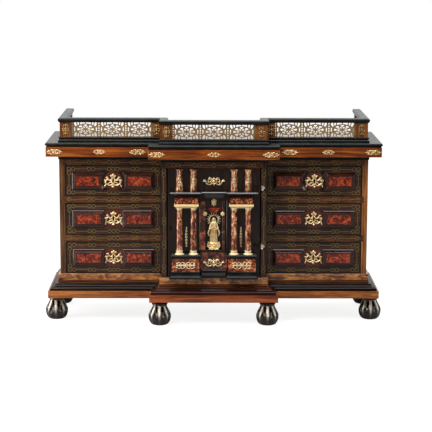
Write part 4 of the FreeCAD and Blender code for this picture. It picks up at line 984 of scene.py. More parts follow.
def carved_foot():
    """A ball gripped by eight claws that hang from a ring, with a drilled hole between each two.
    Gives the shape and a value for each of its points, from 0 in the hollows to 1 on the ridges: partly wear,
    partly painted highlight on the ridges and the ring, held down in the drilled holes as painted shade"""
    profile = smooth([(16.0, 0.0), (21.5, 0.6), (27.0, 4.6), (31.0, 11.5), (32.4, 19.0), (31.6, 27.0),
                      (29.4, 35.0), (26.4, 43.0), (23.2, 50.0), (20.6, 56.0), (19.4, 59.5)], 5)
    collar = [(19.4, 60.0), (22.4, 60.6), (23.8, 62.0), (23.8, 64.4), (22.4, 65.8), (19.4, 66.4),
              (18.6, 68.0), (18.6, foot_height)]
    # Where the claws end, how far up they widen, and the ring's height
    claw_tip, claw_length, ring_z = 15.0, 34.0, 60.5
    hole_half_width, hole_z, hole_half_height = 2.3, 47.0, 7.0
    largest_radius = 33.4
    rings, wear_and_painted_light = [], []
    for radius, z in profile + collar:
        share = min(1.0, max(0.0, (z - claw_tip) / claw_length))
        half_angle = math.radians(22.4) * share ** 0.55
        below_ring = min(1.0, max(0.0, (ring_z - z) / 3.0))
        ring = []
        for turn in turns(128):
            off = (turn + math.pi / claws) % (2 * math.pi / claws) - math.pi / claws
            grip = 0.0
            if half_angle and abs(off) < half_angle:
                grip = math.sqrt(1 - (off / half_angle) ** 2)
            lift = below_ring * (4.6 * grip * min(1.0, share * 2.2) - 3.4 * share)
            gap = math.pi / claws - abs(off)
            hole = math.exp(-((gap * radius / hole_half_width) ** 2
                              + ((z - hole_z) / hole_half_height) ** 2)) * below_ring
            reach = min(radius + lift, largest_radius) - 8.0 * hole
            ring.append((reach * math.cos(turn), reach * math.sin(turn), z))
            # Lighter along each ridge and in a band under the ring: partly wear, partly painted highlight. The
            # drilled holes take it down as painted shade
            ridge = math.exp(-(off * radius / 3.7) ** 4) * min(1.0, 0.34 + share)
            rim = 0.7 * math.exp(-((z - 58.0) / 2.4) ** 2)
            wear_and_painted_light.append(max(0.0, max(ridge * below_ring * 1.3, rim) - 1.4 * hole))
        rings.append(ring)
    return skinned(rings), wear_and_painted_light


def feet():
    """The six feet, with the wear and painted light of their points kept as an attribute for their wood"""
    shape, wear_and_painted_light = carved_foot()
    all_feet = joined([moved(shape, x, y) for x, y in foot_places])
    made = piece("carved_claw_feet", all_feet, foot_look, "carcass", ["feet"], crease=60.0)
    values = wear_and_painted_light * len(foot_places)
    attribute = made.data.attributes.new("wear_and_painted_light", "FLOAT", "POINT")
    if len(values) != len(made.data.vertices):
        raise ValueError("the foot's points were merged, so its wear doesn't fit them")
    attribute.data.foreach_set("value", values)


feet()


# Gilt castings, drawn as bars of x, z and half width round the middle of each, the right half only

def frieze_casting():
    """A leafy mount: an upright leaf in the middle, curled leaves beside it and a pointed one at each end"""
    bars = []
    for way in SIDES:
        bars += [[(0.8, way * 1.6, 1.2), (3.6, way * 5.6, 1.5), (7.8, way * 7.2, 1.7), (11.4, way * 4.8, 1.5),
                  (10.6, way * 1.8, 1.1)],
                 [(12.8, way * 1.2, 1.0), (15.4, way * 4.6, 1.5), (19.0, way * 5.4, 0.6)],
                 [(3.0, way * 0.6, 0.9), (5.6, way * 2.4, 1.3), (8.4, way * 3.2, 0.6)]]
    bars.append([(10.6, 0.0, 1.3), (14.6, 0.0, 1.2), (19.0, 0.0, 2.0), (24.6, 0.0, 0.5)])
    middle = stroke([(0.0, 8.6, 0.6), (0.0, 5.0, 1.9), (0.0, 0.0, 1.6), (0.0, -5.0, 1.9), (0.0, -8.6, 0.6)],
                    0.7)
    return casting(both_ways(bars, 0.7, 1.1) + [middle, bead(0.0, 0.0, 2.9, 1.2)], 0.52)


def post_casting():
    """An upright mount: two pairs of scrolls one over the other, with a leaf above and below"""
    bars = []
    for way in SIDES:
        bars += [ring_bar(3.6, way * 7.2, 3.4, 4.6, 1.2, turns(12, 0.0, 30.0)),
                 [(3.0, way * 12.2, 1.0), (5.4, way * 14.2, 1.0), (4.6, way * 16.2, 0.6)],
                 [(5.6, way * 3.2, 1.1), (8.4, way * 1.6, 1.3), (9.4, way * 4.6, 0.6)]]
    middle = [stroke([(0.0, way * 1.0, 1.7), (0.0, way * 9.0, 1.3), (0.0, way * 13.0, 2.1),
                      (0.0, way * 16.8, 0.6)], 0.7) for way in SIDES]
    return casting(both_ways(bars, 0.7) + middle + [bead(0.0, 0.0, 3.0)])


def cartouche_casting():
    """A long mount: an oval boss, rolled scrolls beside it and a leaf at each end, with a crest and a drop"""
    bars = [scroll(12.5, 1.2, 6.8, 165, -330, 2.0), scroll(20.5, -2.2, 5.0, 160, 330, 1.8),
            [(6.0, -6.5, 1.6), (13.0, -9.8, 1.8), (20.0, -8.4, 1.2), (24.0, -5.4, 0.7)],
            [(5.0, 7.2, 1.6), (10.5, 10.4, 1.6), (17.0, 9.6, 0.9)],
            [(23.5, -0.6, 1.8), (28.0, 1.2, 2.6), (31.0, 0.4, 1.6), (33.4, 0.0, 0.6)],
            [(25.0, 2.4, 1.0), (28.0, 5.0, 1.1), (30.4, 4.2, 0.6)],
            ring_bar(0.0, 0.0, 8.6, 7.2, 1.5, turns(13, -90.0, 15.0))]
    middle = [stroke([(0.0, way * 7.4, 2.2), (0.0, way * 10.4, 1.6), (0.0, way * 13.2, 0.6)], 0.7)
              for way in (1, -1)]
    return casting(both_ways(bars, 0.7) + middle + [bead(0.0, 0.0, 5.0, 0.7)])


def strapwork_casting():
    """A long openwork mount: three pairs of rings tied along a bar, with a small leaf at each end"""
    bars = []
    for way in SIDES:
        bars += [ring_bar(x, way * 5.2, 4.6, 4.2, 0.9, turns(13, 0.0, 30.0)) for x in (8.8, 19.6)]
        bars.append([(0.0, way * 2.0, 1.3), (2.6, way * 5.4, 1.2), (4.4, way * 8.6, 0.9)])
        bars.append([(23.0, way * 3.4, 1.1), (26.4, way * 5.6, 1.2), (27.2, way * 8.4, 0.6)])
    bars.append([(0.0, 0.0, 1.8), (8.0, 0.0, 1.1), (15.0, 0.0, 1.5), (22.0, 0.0, 1.2), (25.6, 0.0, 2.0),
                 (28.6, 0.0, 0.6)])
    return casting(both_ways(bars, 0.7) + [bead(0.0, 0.0, 3.4, 0.8)])


def leaf_casting():
    """A small upright leaf with rolled sides, standing out as a bracket over the niche"""
    bars = [scroll(4.3, 4.0, 3.3, 150, -300, 1.4), scroll(4.0, -5.2, 3.0, 200, 300, 1.3),
            [(1.5, -1.0, 1.6), (4.6, 0.0, 1.6), (7.0, 1.2, 0.8)]]
    middle = stroke([(0.0, -12.8, 0.8), (0.0, -7.5, 2.6), (0.0, 0.0, 3.4), (0.0, 7.0, 2.8), (0.0, 12.8, 0.9)],
                    1.0, 1.0)
    return casting(both_ways(bars, 1.2) + [middle, bead(0.0, 9.0, 2.6, 1.5)])


def rosette_casting():
    """A round flower of eight petals about a boss"""
    petals = [stroke([(reach * math.cos(angle), reach * math.sin(angle), half) for reach, half in
                      ((1.6, 1.0), (4.2, 1.9), (6.6, 0.9))], 0.5) for angle in turns(8)]
    return casting(petals + [bead(0.0, 0.0, 2.3)], 0.4)


def drop_casting(height, half_width, husks):
    """A hanging row of husks, smaller towards its ends, strung on a thin stem"""
    bars = []
    pitch = height / husks
    for number in range(husks):
        z = height / 2 - pitch * number - 1.0
        size = half_width * (1.0 - 0.45 * abs(2 * number / (husks - 1) - 1))
        bars.append([(0.3, z, 0.9), (size * 0.62, z - pitch * 0.3, size * 0.3),
                     (size * 0.86, z - pitch * 0.78, 0.5)])
        bars.append([(0.0, z, 0.8), (0.0, z - pitch * 0.5, size * 0.34), (0.0, z - pitch * 0.94, 0.6)])
    stem = stroke([(0.0, height / 2, 0.6), (0.0, -height / 2, 0.6)], 0.5)
    return casting(both_ways(bars, 0.5) + [stem])


def escutcheon_casting():
    """Pierced escutcheon: a palmette over a shield with the keyhole, two rampant scrolls and a swag below"""
    bars = [[(2.6, 6.4, 1.9), (4.4, 3.4, 2.0), (4.3, -1.6, 2.0), (3.6, -7.4, 2.2)],
            [(0.6, 8.4, 2.2), (3.8, 11.0, 2.0), (6.9, 15.4, 1.7), (6.4, 18.0, 0.8)],
            [(0.4, 9.5, 1.6), (2.8, 15.0, 1.9), (3.4, 19.2, 0.8)],
            [(5.0, 2.0, 2.2), (9.5, 1.4, 2.2), (14.0, 4.4, 2.7), (16.6, 8.6, 2.3), (16.8, 12.2, 1.5)],
            [(16.6, 9.2, 1.5), (20.0, 11.0, 1.3), (21.4, 8.0, 0.8)],
            [(14.6, 4.6, 2.3), (19.6, 1.4, 2.6), (22.6, -4.4, 2.4), (21.2, -10.6, 1.9), (24.2, -15.2, 2.1),
             (24.6, -19.4, 1.2)],
            [(19.8, 1.0, 1.3), (24.4, 2.8, 1.4), (26.6, -0.8, 0.8)],
            [(21.0, -7.4, 1.8), (15.0, -12.4, 2.2), (9.0, -14.0, 2.1), (3.6, -11.6, 2.0), (0.4, -9.0, 2.2)],
            [(4.6, -5.0, 1.6), (9.4, -5.4, 1.6), (13.2, -8.4, 1.4), (13.4, -12.0, 1.3)]]
    middle = [[(0.0, 7.4, 2.4), (0.0, 13.0, 1.6), (0.0, 18.4, 2.4), (0.0, 21.6, 0.8)],
              [(0.0, -8.6, 2.0), (0.0, -13.6, 1.6)],
              [(-4.2, -17.6, 1.4), (0.0, -17.6, 3.6), (4.2, -17.6, 1.4)]]
    return casting(both_ways(bars, 0.8) + [stroke(points, 0.8) for points in middle])


def case_mounts():
    """The mounts of the frieze and of the gallery posts, where the CAD ones are"""
    out = frieze_high.x
    frieze_out = out - half_width
    wing_face, centre_face = -(wing_front + frieze_out), -(centre_front + frieze_out)
    z, post_z = (frieze_low.z + frieze_high.z) / 2, (fret_low.z + fret_high.z) / 2
    corner_inset, inner_gap, post_inset = 25.0, 34.0, 18.0
    middle_x = half_centre + (half_width - half_centre) * 0.6
    between, beside_corners, posts = [(0.0, centre_face, z)], [], []
    for side in SIDES:
        between.append((side * middle_x, wing_face, z))
        beside_corners += [(side * (out - corner_inset), wing_face, z),
                           (side * (half_centre + frieze_out + inner_gap), wing_face, z),
                           (side * (half_centre + frieze_out - corner_inset), centre_face, z)]
        posts += [(side * (gallery_half - post_inset), -gallery_wing_front, post_z),
                  (side * (gallery_centre + 12.5), -gallery_wing_front, post_z),
                  (side * (gallery_centre - post_inset), -gallery_centre_front, post_z)]
    points, faces = frieze_casting()
    low_relief = [(x, y * 0.6, z * 0.92) for x, y, z in points], faces
    smaller = [(x * 0.78, y * 0.6, z * 0.8) for x, y, z in points], faces
    # Those at the corners have a twin on the return, so that together they wrap the corner
    returns = [moved(low_relief, side * x, face + corner_inset, z, side * math.pi / 2)
               for side in SIDES for x, face in ((out, wing_face), (half_centre + frieze_out, centre_face))]
    placed = [all_placed(low_relief, beside_corners), all_placed(smaller, between)]
    piece("gilt_mounts_of_frieze", joined(placed + returns), frieze_gilt_look, "carcass",
          ["gilt_mounts"], 80.0)
    piece("worn_mounts_of_gallery_posts", all_placed(post_casting(), posts), worn_look, "carcass",
          crease=80.0)


case_mounts()


# Drawers: mouldings round the shell panels, patches or bosses behind the escutcheons, and the escutcheons

# How far a panel's moulding reaches out from the shell's edge, and how far from the drawer's middle it starts
# on the lower rows. On the top row its end is hollowed round the boss instead
moulding_width = 11.0
panel_inner = 28.0
boss_radius = 29.0
# How far the boss of the top row and the patch of the lower rows stand out from the front
boss_rise, patch_rise = 6.3, 0.8


def panel_path(x, z, half_x, half_z, scoop_x, scoop_radius):
    """Outline of a raised panel in the front view, its inner end hollowed round a boss where it has one"""
    if not scoop_radius:
        return [(x - half_x, z - half_z), (x - half_x, z + half_z), (x + half_x, z + half_z),
                (x + half_x, z - half_z)]
    way = 1 if x > scoop_x else -1
    far = x + way * half_x
    lift = math.asin(half_z / scoop_radius)
    angles = [lift - 2 * lift * step / 16 for step in range(17)]
    path = [(far, z - half_z), (far, z + half_z)]
    path += oval(scoop_x, z, way * scoop_radius, scoop_radius, angles)
    return path[::-1] if way < 0 else path


def panel_section():
    """Moulding of a panel from its outer edge in: a low wall, an arris planed off at 41 degrees, which draws
    a thin line of light, a slope, a bead, and the drop to the shell"""
    section = [(0.35, 0.0), (0.35, 3.2), (-0.75, 4.16), (-7.2, 7.0)] + bowed((-7.4, 7.6), (-9.7, 9.3), 0.8, 8)
    return section + [(-10.4, 9.0), (-11.0, 7.6), (-11.4, 7.2), (-11.4, 0.0)]


def turned_for(path):
    """The path in the order that puts growing outwards on its right"""
    area = sum(a[0] * b[1] - b[0] * a[1] for a, b in zip(path, path[1:] + path[:1]))
    return path if area > 0 else path[::-1]


escutcheon_shape = escutcheon_casting()


def keyhole_loop(x, z):
    """Outline of a keyhole, a round head over a slot"""
    return oval(x, z + 3.0, 3.0, 3.0, turns(16, -60.0, 20.0)) + [(x - 1.7, z - 7.4), (x + 1.7, z - 7.4)]


def drawer_dress(drawer):
    """What stands on one drawer's front"""
    low, high = box_mm(drawer + "_front")
    lock_back = box_mm(drawer + "_lock")[1].y
    shell_low, shell_high = box_mm(drawer + "_shell")
    face = -wing_front
    middle_x = (low.x + high.x) / 2
    middle_z = (shell_low.z + shell_high.z) / 2
    top_row = drawer.endswith("top")
    half_x = (shell_high.x + moulding_width - middle_x - panel_inner) / 2
    half_z = (shell_high.z - shell_low.z) / 2 + moulding_width
    mouldings = []
    for side in SIDES:
        path = panel_path(middle_x + side * (panel_inner + half_x), middle_z, half_x, half_z, middle_x,
                          boss_radius + 4.0 if top_row else 0.0)
        mouldings.append(upright(moulding(turned_for(path), panel_section(), closed=True), face))
    piece(drawer + "_panel_mouldings", joined(mouldings), frame_look, drawer, crease=10.0)
    # Painted shade: a black frame 2.4 mm wide round the front's edge, standing for the shadow in the gap
    # between drawer and case
    edges = [[(low.x + inset, low.z + inset), (high.x - inset, low.z + inset),
              (high.x - inset, high.z - inset), (low.x + inset, high.z - inset)] for inset in (0.0, 2.4)]
    piece(drawer + "_painted_gap_shade", upright(plate(edges, 0.3), face), ebony_look, drawer)
    hole = keyhole_loop(middle_x, middle_z)
    if top_row:
        rise, inner = boss_rise, boss_radius - 3.4
        rim = [(boss_radius + 0.4, 0.0), (boss_radius + 0.4, 4.4), (boss_radius - 0.6, 5.4), (inner, rise),
               (inner, 0.0)]
        ring = moulding(oval(middle_x, middle_z, 1.0, 1.0, turns(64)),
                        [(radius - 1.0, height) for radius, height in rim], closed=True)
        disc = oval(middle_x, middle_z, inner, inner, turns(64))
        boss = joined([ring, plate([disc, hole], rise)])
        piece(drawer + "_boss", upright(boss, face), kingwood_look, drawer)
    else:
        rise = patch_rise
        outline = [(-27.4, -20.0), (-27.4, 20.0), (-20.0, 20.0), (-20.0, 27.0), (20.0, 27.0), (20.0, 20.0),
                   (27.4, 20.0), (27.4, -20.0), (20.0, -20.0), (20.0, -27.0), (-20.0, -27.0), (-20.0, -20.0)]
        flat = [(middle_x + x, middle_z + z) for x, z in outline]
        piece(drawer + "_veneer_patch", upright(plate([flat, hole], rise), face), kingwood_look, drawer,
              ease=0.3)
    # The lock case is let into the back of the front, with a selvedge up to the drawer's edge and over it
    x0, x1, case_depth, selvedge = middle_x - 19.0, middle_x + 19.0, 6.0, 2.0
    case_low, case_high = middle_z - 15.0, middle_z + 15.0
    parts = [moved(escutcheon_shape, middle_x, face - rise, middle_z + 1.0),
             block(x0, x1, lock_back - case_depth, lock_back, case_low, case_high),
             block(x0, x1, lock_back - selvedge, lock_back, case_high, high.z),
             block(x0, x1, lock_back - case_depth, lock_back - selvedge, high.z - selvedge, high.z)]
    piece(drawer + "_escutcheon_and_lock", joined(parts), gilt_look, drawer, [drawer + "_lock"],
          80.0)
    # A dark plate of painted shade closes the keyhole and stands for its dark inside, just over the face of the
    # CAD front, or of its boss on the top row
    lift = 6.02 if top_row else 0.02
    piece(drawer + "_keyhole", upright(plate([hole], 0.15), face - lift), keyhole_shade_look, drawer)


for drawer in drawer_names:
    drawer_dress(drawer)


# The door: columns, pilasters, mouldings, shell blocks, mounts and the figure in its niche

bone_low, bone_high = box_mm("door_bone_fittings")
shaft_low, shaft_high = box_mm("door_column_shafts")
pilaster_low, pilaster_high = box_mm("door_upper_pilasters")
cornice_low, cornice_high = box_mm("door_middle_cornice")
figure_low, figure_high = box_mm("door_niche_figure")

door_face = box_mm("door_board")[0].y
door_foot = box_mm("door_ebony_mouldings")[0].z
column_y = door_face - 18.0
column_xs = [60.0, 101.5]
# Inner and outer side, and reach from the door, of the pedestals and of the blocks over the columns
pedestal = (43.0, 124.0, 31.0)
entablature = (47.0, 115.0, 28.0)
# Heights above the floor
die_z, cap_z, cap_top = 164.0, 203.5, 214.5
sill_z, niche_top = 225.0, 374.0


def boxed(x0, x1, reach, section, side=1):
    """A moulding round three sides of a block that stands out from the door"""
    path = [(x0, door_face), (x0, door_face - reach), (x1, door_face - reach), (x1, door_face)]
    return moved(moulding(path, section), across=side)


def columns():
    """Round shafts with a slight swelling, on turned bone bases and under turned capitals"""
    shafts, bases, capitals = [], [], []
    z0, z1 = shaft_low.z, shaft_high.z
    swelling = smooth([(8.3, z0), (8.5, z0 + 30.0), (8.3, z0 + 70.0), (7.7, z1)], 8)
    foot = bone_low.z
    base = [(13.2, foot), (14.0, foot + 0.6), (14.0, foot + 2.0), (13.2, foot + 2.6)]
    base += bowed((12.8, foot + 2.8), (8.8, foot + 8.6), -1.5, 10)
    base += [(9.6, foot + 8.9)] + bowed((9.8, foot + 9.4), (9.4, z0), 0.5, 6) + [(8.4, z0 + 0.01)]
    z = z1 + 7.0
    head = [(7.6, z1)] + bowed((8.0, z1 + 0.1), (8.0, z1 + 1.5), -0.8, 5)
    head += bowed((7.4, z1 + 1.7), (8.6, z1 + 4.4), 0.5, 6)
    head += [(9.4, z1 + 4.7), (9.6, z1 + 5.0), (9.6, z1 + 6.6), (9.3, z)]
    for x in [side * x for x in column_xs for side in SIDES]:
        shafts.append(turned(swelling, x, column_y, 40))
        bases.append(turned(base, x, column_y, 40))
        capitals.append(turned(head, x, column_y, 40))
    piece("door_columns", joined(shafts), column_shell, "door", ["door_column_shafts"])
    top = bone_high.z
    section = [(-2.0, z), (-2.0, z + 1.6), (-1.6, z + 2.0)] + bowed((-1.6, z + 2.2), (1.6, z + 4.6), -0.9, 6)
    section += [(2.0, z + 4.8), (2.0, top - 1.0), (1.4, top), (-20.0, top), (-20.0, z)]
    bands = [boxed(*entablature, section, side) for side in SIDES]
    piece("door_column_bases_and_capitals", joined(bases + capitals), bone_look, "door",
          ["door_bone_fittings"])
    piece("door_bands_over_columns", joined(bands), band_look, "door")


columns()


def pilasters():
    """Half-round pilasters over the middle cornice, with a turned collar at head and foot"""
    shapes = []
    half_round = [math.pi + math.pi * step / 24 for step in range(25)]
    z0, z1 = pilaster_low.z, pilaster_high.z
    section = [(10.6, z0), (11.0, z0 + 0.6), (11.0, z0 + 3.6), (10.2, z0 + 4.4), (9.6, z0 + 5.2)]
    section += [(9.4, z0 + 12.0), (9.4, z1 - 12.0), (9.6, z1 - 5.2), (10.2, z1 - 4.4), (11.0, z1 - 3.6),
                (11.0, z1 - 0.6), (10.6, z1)]
    for x in [side * x for x in column_xs for side in SIDES]:
        shapes.append(skinned([[(a, b, z) for a, b in oval(x, door_face, radius, radius, half_round)]
                               for radius, z in section]))
    piece("door_upper_half_columns", joined(shapes), column_shell, "door",
          ["door_upper_pilasters"])


pilasters()


def door_mouldings():
    """Black mouldings of the door: broken cornice, pedestal caps and bases, sill and foot moulding"""
    z0, z1 = cornice_low.z, cornice_high.z
    shapes = []
    for x0, x1, reach in ((38.0, 130.0, 32.0), (-38.0, 38.0, 21.0)):
        section = [(-reach + 0.6, z0), (-reach / 2, z0), (-reach / 2, z0 + 3.4), (-reach / 2 - 0.6, z0 + 4.0)]
        section += bowed((-reach / 2 - 0.4, z0 + 4.2), (-3.4, z1 - 6.4), -2.0, 8)
        section += [(-2.6, z1 - 6.2), (-0.6, z1 - 5.8), (0.0, z1 - 5.2), (0.0, z1 - 2.2), (-1.6, z1 - 0.4),
                    (-2.4, z1), (-reach + 0.6, z1)]
        for side in SIDES if x0 > 0 else (1,):
            shapes.append(boxed(x0, x1, reach, section, side))
    piece("door_broken_cornice", joined(shapes), polished_look, "door",
          ["door_middle_cornice"], 20.0)

    shapes = []
    foot, inner = door_foot, -20.0
    base = [(inner, foot), (6.4, foot), (7.0, foot + 0.6), (7.0, foot + 4.6), (6.2, foot + 5.2)]
    base += bowed((5.6, foot + 5.6), (0.8, die_z - 4.0), -1.4, 8)
    base += bowed((0.6, die_z - 3.4), (0.6, die_z - 0.2), 0.9, 5) + [(0.0, die_z), (inner, die_z)]
    cap = [(inner, cap_z), (0.4, cap_z)] + bowed((0.6, cap_z + 0.4), (2.4, cap_z + 4.4), -0.8, 6)
    cap += [(2.6, cap_z + 4.8), (3.0, cap_z + 5.2), (3.0, cap_top - 1.9), (1.7, cap_top - 0.4),
            (1.0, cap_top), (inner, cap_top)]
    lid = block(50.0, 117.0, door_face - 24.0, door_face, cap_top - 1.0, cap_top - 0.05)
    for side in SIDES:
        shapes += [boxed(*pedestal, base, side), boxed(*pedestal, cap, side), moved(lid, across=side)]
    sill = [(door_face, sill_z - 6.0), (door_face - 5.6, sill_z - 6.0), (door_face - 6.4, sill_z - 4.4)]
    sill += bowed((door_face - 6.8, sill_z - 4.0), (door_face - 6.6, sill_z - 0.2), 1.4, 6)
    sill += [(door_face, sill_z)]
    shapes.append(run_across(sill, 40.0))
    low = [(door_face, foot), (door_face - 16.0, foot), (door_face - 16.0, foot + 6.4),
           (door_face - 15.2, foot + 7.0)]
    low += bowed((door_face - 14.4, foot + 7.2), (door_face - 8.0, foot + 13.0), -1.2, 8)
    low += [(door_face - 7.2, foot + 13.6), (door_face - 6.0, foot + 20.6), (door_face - 4.4, foot + 22.4),
            (door_face, foot + 23.5)]
    shapes.append(run_across(low, 36.0))
    piece("door_black_mouldings", joined(shapes), ebony_look, "door",
          ["door_ebony_mouldings"], 20.0)


door_mouldings()


def door_castings():
    """All gilt castings of the door, where the CAD ones are"""
    cartouche, strapwork = cartouche_casting(), strapwork_casting()
    drop, strip = drop_casting(58.0, 4.6, 6), drop_casting(62.0, 4.2, 7)
    # Heights of their middles above the floor
    upper_z, lower_z, leaf_z, rosette_z, strip_z, drop_z = 431.0, 186.0, 368.5, 334.0, 264.0, 434.5
    veneer = 4.0
    shapes = [moved(cartouche, 0.0, door_face, upper_z), moved(cartouche, 0.0, door_face - veneer, lower_z),
              moved(leaf_casting(), 0.0, door_face, leaf_z)]
    # Each pair is given by its distance from the middle, from the door's face, and its height
    for shape, places in ((strapwork, [((pedestal[0] + pedestal[1]) / 2, pedestal[2], (die_z + cap_z) / 2)]),
                          (rosette_casting(), [(26.0, veneer, rosette_z)]),
                          (strip, [((column_xs[0] + column_xs[1]) / 2, 0.0, strip_z)]),
                          (drop, [(x, 9.4, drop_z) for x in column_xs])):
        shapes.append(all_placed(shape, [(side * x, door_face - out, z) for side in SIDES
                                         for x, out, z in places]))
    piece("door_gilt_mounts", joined(shapes), gilt_look, "door", ["door_mounts"], 80.0)


door_castings()


def limb(points, sides=10):
    """A round bar through points of x, y, z and radius"""
    line = smooth(points, 4)
    rings = []
    for number, (x, y, z, radius) in enumerate(line):
        before, after = line[max(number - 1, 0)], line[min(number + 1, len(line) - 1)]
        run = (Vector(after[:3]) - Vector(before[:3])).normalized()
        first = run.orthogonal().normalized()
        second = run.cross(first)
        rings.append([tuple(Vector((x, y, z)) + radius * (math.cos(turn) * first + math.sin(turn) * second))
                      for turn in turns(sides)])
    return skinned(rings)


def bar(side, y, z, line, sides=10):
    """A round bar on one side of the middle, through points given from the middle, a depth and a height"""
    return limb([(side * out, y + forward, z + lift, radius) for out, forward, lift, radius in line], sides)


def egg(x, y, z, reach_x, reach_y, reach_z, sides=16):
    """A rounded form about a middle, with its own reach along each axis"""
    rings = []
    for lift in [math.pi * step / 10 - math.pi / 2 for step in range(1, 10)]:
        level = oval(x, y, reach_x * math.cos(lift), reach_y * math.cos(lift), turns(sides))
        rings.append([(a, b, z + reach_z * math.sin(lift)) for a, b in level])
    return skinned(rings)


def robe(x, y, sections, folds):
    """A hanging robe from sections of height, half width, half depth and depth of fold"""
    rings = []
    for z, half_x, half_y, fold in sections:
        ring = []
        for turn in turns(72):
            ripple = fold * (0.6 * math.cos(folds * turn + z * 0.05)
                             + 0.4 * math.cos((folds - 3) * turn - z * 0.08))
            ring.append((x + (half_x + ripple) * math.cos(turn), y + (half_y + ripple) * math.sin(turn), z))
        rings.append(ring)
    return skinned(rings)


def niche_figure():
    """A robed figure with folded hands under a cowl, on a scrolled base, with a rayed halo behind it"""
    floor, back = figure_low.z, figure_high.y
    y = back - 9.6
    foot = floor + 26.0
    body = smooth([(foot - 1.0, 11.4, 7.6, 1.0), (foot + 10.0, 10.6, 7.0, 1.2), (foot + 22.0, 10.2, 6.8, 1.2),
                   (foot + 34.0, 9.4, 6.8, 1.0), (foot + 42.0, 9.0, 6.6, 0.7), (foot + 50.0, 9.6, 6.2, 0.4),
                   (foot + 54.5, 9.0, 5.6, 0.1), (foot + 57.5, 6.4, 4.8, 0.0),
                   (foot + 59.5, 3.6, 3.4, 0.0)], 5)
    head_z = foot + 63.6
    shapes = [robe(0.0, y, body, 11)]
    shapes.append(egg(0.0, y - 0.6, head_z, 3.9, 4.4, 5.4))
    shapes.append(egg(0.0, y + 0.9, head_z + 0.9, 5.0, 4.6, 5.8))
    shapes.append(limb([(share * 4.6, y - 1.2, head_z + lift, radius) for share, lift, radius in
                        ((-1.2, -6.0, 1.2), (-1.1, 0.0, 1.1), (-0.8, 4.2, 1.1), (0.0, 6.0, 1.1),
                         (0.8, 4.2, 1.1), (1.1, 0.0, 1.1), (1.2, -6.0, 1.2))]))
    front = y - 0.6 - 4.4
    # Nose, then brows, eyes, sleeves, their hanging ends and the hands of each side, then mouth and chin
    shapes.append(bar(1, front, head_z, [(0.0, 0.5, 1.5, 0.35), (0.0, -0.15, -0.2, 0.5),
                                         (0.0, -0.35, -0.8, 0.55)]))
    for side in SIDES:
        shapes.append(bar(side, front, head_z, [(0.5, 0.5, 1.6, 0.3), (1.5, 0.6, 2.0, 0.36),
                                                (2.5, 1.3, 1.5, 0.3)]))
        shapes.append(egg(side * 1.45, front + 0.75, head_z + 0.7, 0.62, 0.4, 0.36, 10))
        shapes.append(bar(side, y, foot, [(8.6, -0.5, 53.0, 2.2), (10.8, -2.6, 45.0, 2.3),
                                          (12.4, -5.0, 37.0, 2.5), (6.6, -7.6, 39.5, 2.1),
                                          (1.2, -8.6, 43.0, 1.5)], 14))
        shapes.append(bar(side, y, foot, [(11.6, -4.0, 39.0, 2.0), (14.8, -3.2, 31.0, 2.8),
                                          (16.6, -2.6, 24.0, 2.6), (15.2, -2.4, 19.0, 1.6),
                                          (12.6, -2.6, 15.0, 0.8)], 12))
        shapes.append(bar(side, y, foot, [(1.2, -8.8, 41.0, 1.5), (0.5, -9.6, 44.0, 1.3),
                                          (0.3, -9.2, 46.6, 0.7)]))
    shapes.append(bar(1, front, head_z, [(-0.95, 0.7, -2.0, 0.3), (0.0, 0.25, -2.05, 0.42),
                                         (0.95, 0.7, -2.0, 0.3)]))
    shapes.append(egg(0.0, front + 1.2, head_z - 3.7, 1.3, 1.1, 1.0, 10))
    base = [(14.6, floor + 3.0), (15.6, floor + 4.6), (15.6, floor + 7.6), (14.2, floor + 9.0),
            (12.6, floor + 12.0), (13.4, floor + 15.4), (15.2, floor + 18.0), (15.2, floor + 20.4),
            (13.0, floor + 21.6), (11.4, floor + 24.0), (11.4, floor + 26.4)]
    shapes.append(skinned([[(a, b, z) for a, b in oval(0.0, y, radius * 1.06, radius * 0.56, turns(40))]
                           for radius, z in base]))
    for side in SIDES:
        shapes.append(bar(side, y, floor, [(1.0, -8.0, 3.4, 1.2), (5.0, -8.0, 1.6, 1.7),
                                           (10.0, -8.0, 3.2, 1.8), (13.0, -8.0, 1.9, 2.0),
                                           (15.0, -8.0, 2.6, 1.4)], 12))
        shapes.append(bar(side, y, floor, [(15.0, -4.4, 7.0, 1.6), (18.4, -3.6, 12.0, 1.7),
                                           (17.6, -3.6, 18.0, 1.6), (15.2, -3.8, 21.0, 1.7),
                                           (17.0, -3.6, 24.6, 0.9)], 12))
    for number in range(7):
        angle = math.pi * (1.1 + 0.8 * number / 6)
        shapes.append(egg(15.2 * math.cos(angle), y + 8.0 * math.sin(angle), floor + 12.6, 1.9, 1.9, 3.4, 10))
    points, faces = fused(joined(shapes), 0.42, 2)
    body = [(x, min(depth, back), z) for x, depth, z in points], faces
    halo_z, band_reach = head_z + 0.4, 13.0
    rays = [stroke([(reach * math.cos(angle), halo_z + reach * math.sin(angle), half)
                    for reach, half in ((band_reach, 1.1), (17.4, 1.2), (21.8, 0.7))], 0.8, 1.1, 2)
            for angle in [math.pi * (-0.19 + 1.38 * number / 12) for number in range(13)]]
    band = stroke(ring_bar(0.0, halo_z, band_reach, band_reach, 1.6,
                           [math.pi * (-0.2 + 1.4 * step / 20) for step in range(21)]), 0.6, 0.8, 2)
    halo = casting(rays + [band], 0.42)
    piece("door_niche_robed_figure", joined([body, moved(halo, 0.0, back - 7.0, 0.0)]), brightened_figure_look, "door",
          ["door_niche_figure"], 80.0)


niche_figure()


# Brass rings and stringing let into the veneer: loose points of a drawing carry rings, its edges carry strips

# From ring to ring in a pair, and from a ring's middle to the line that starts beside it
ring_reach = 12.5
line_gap = 6.0


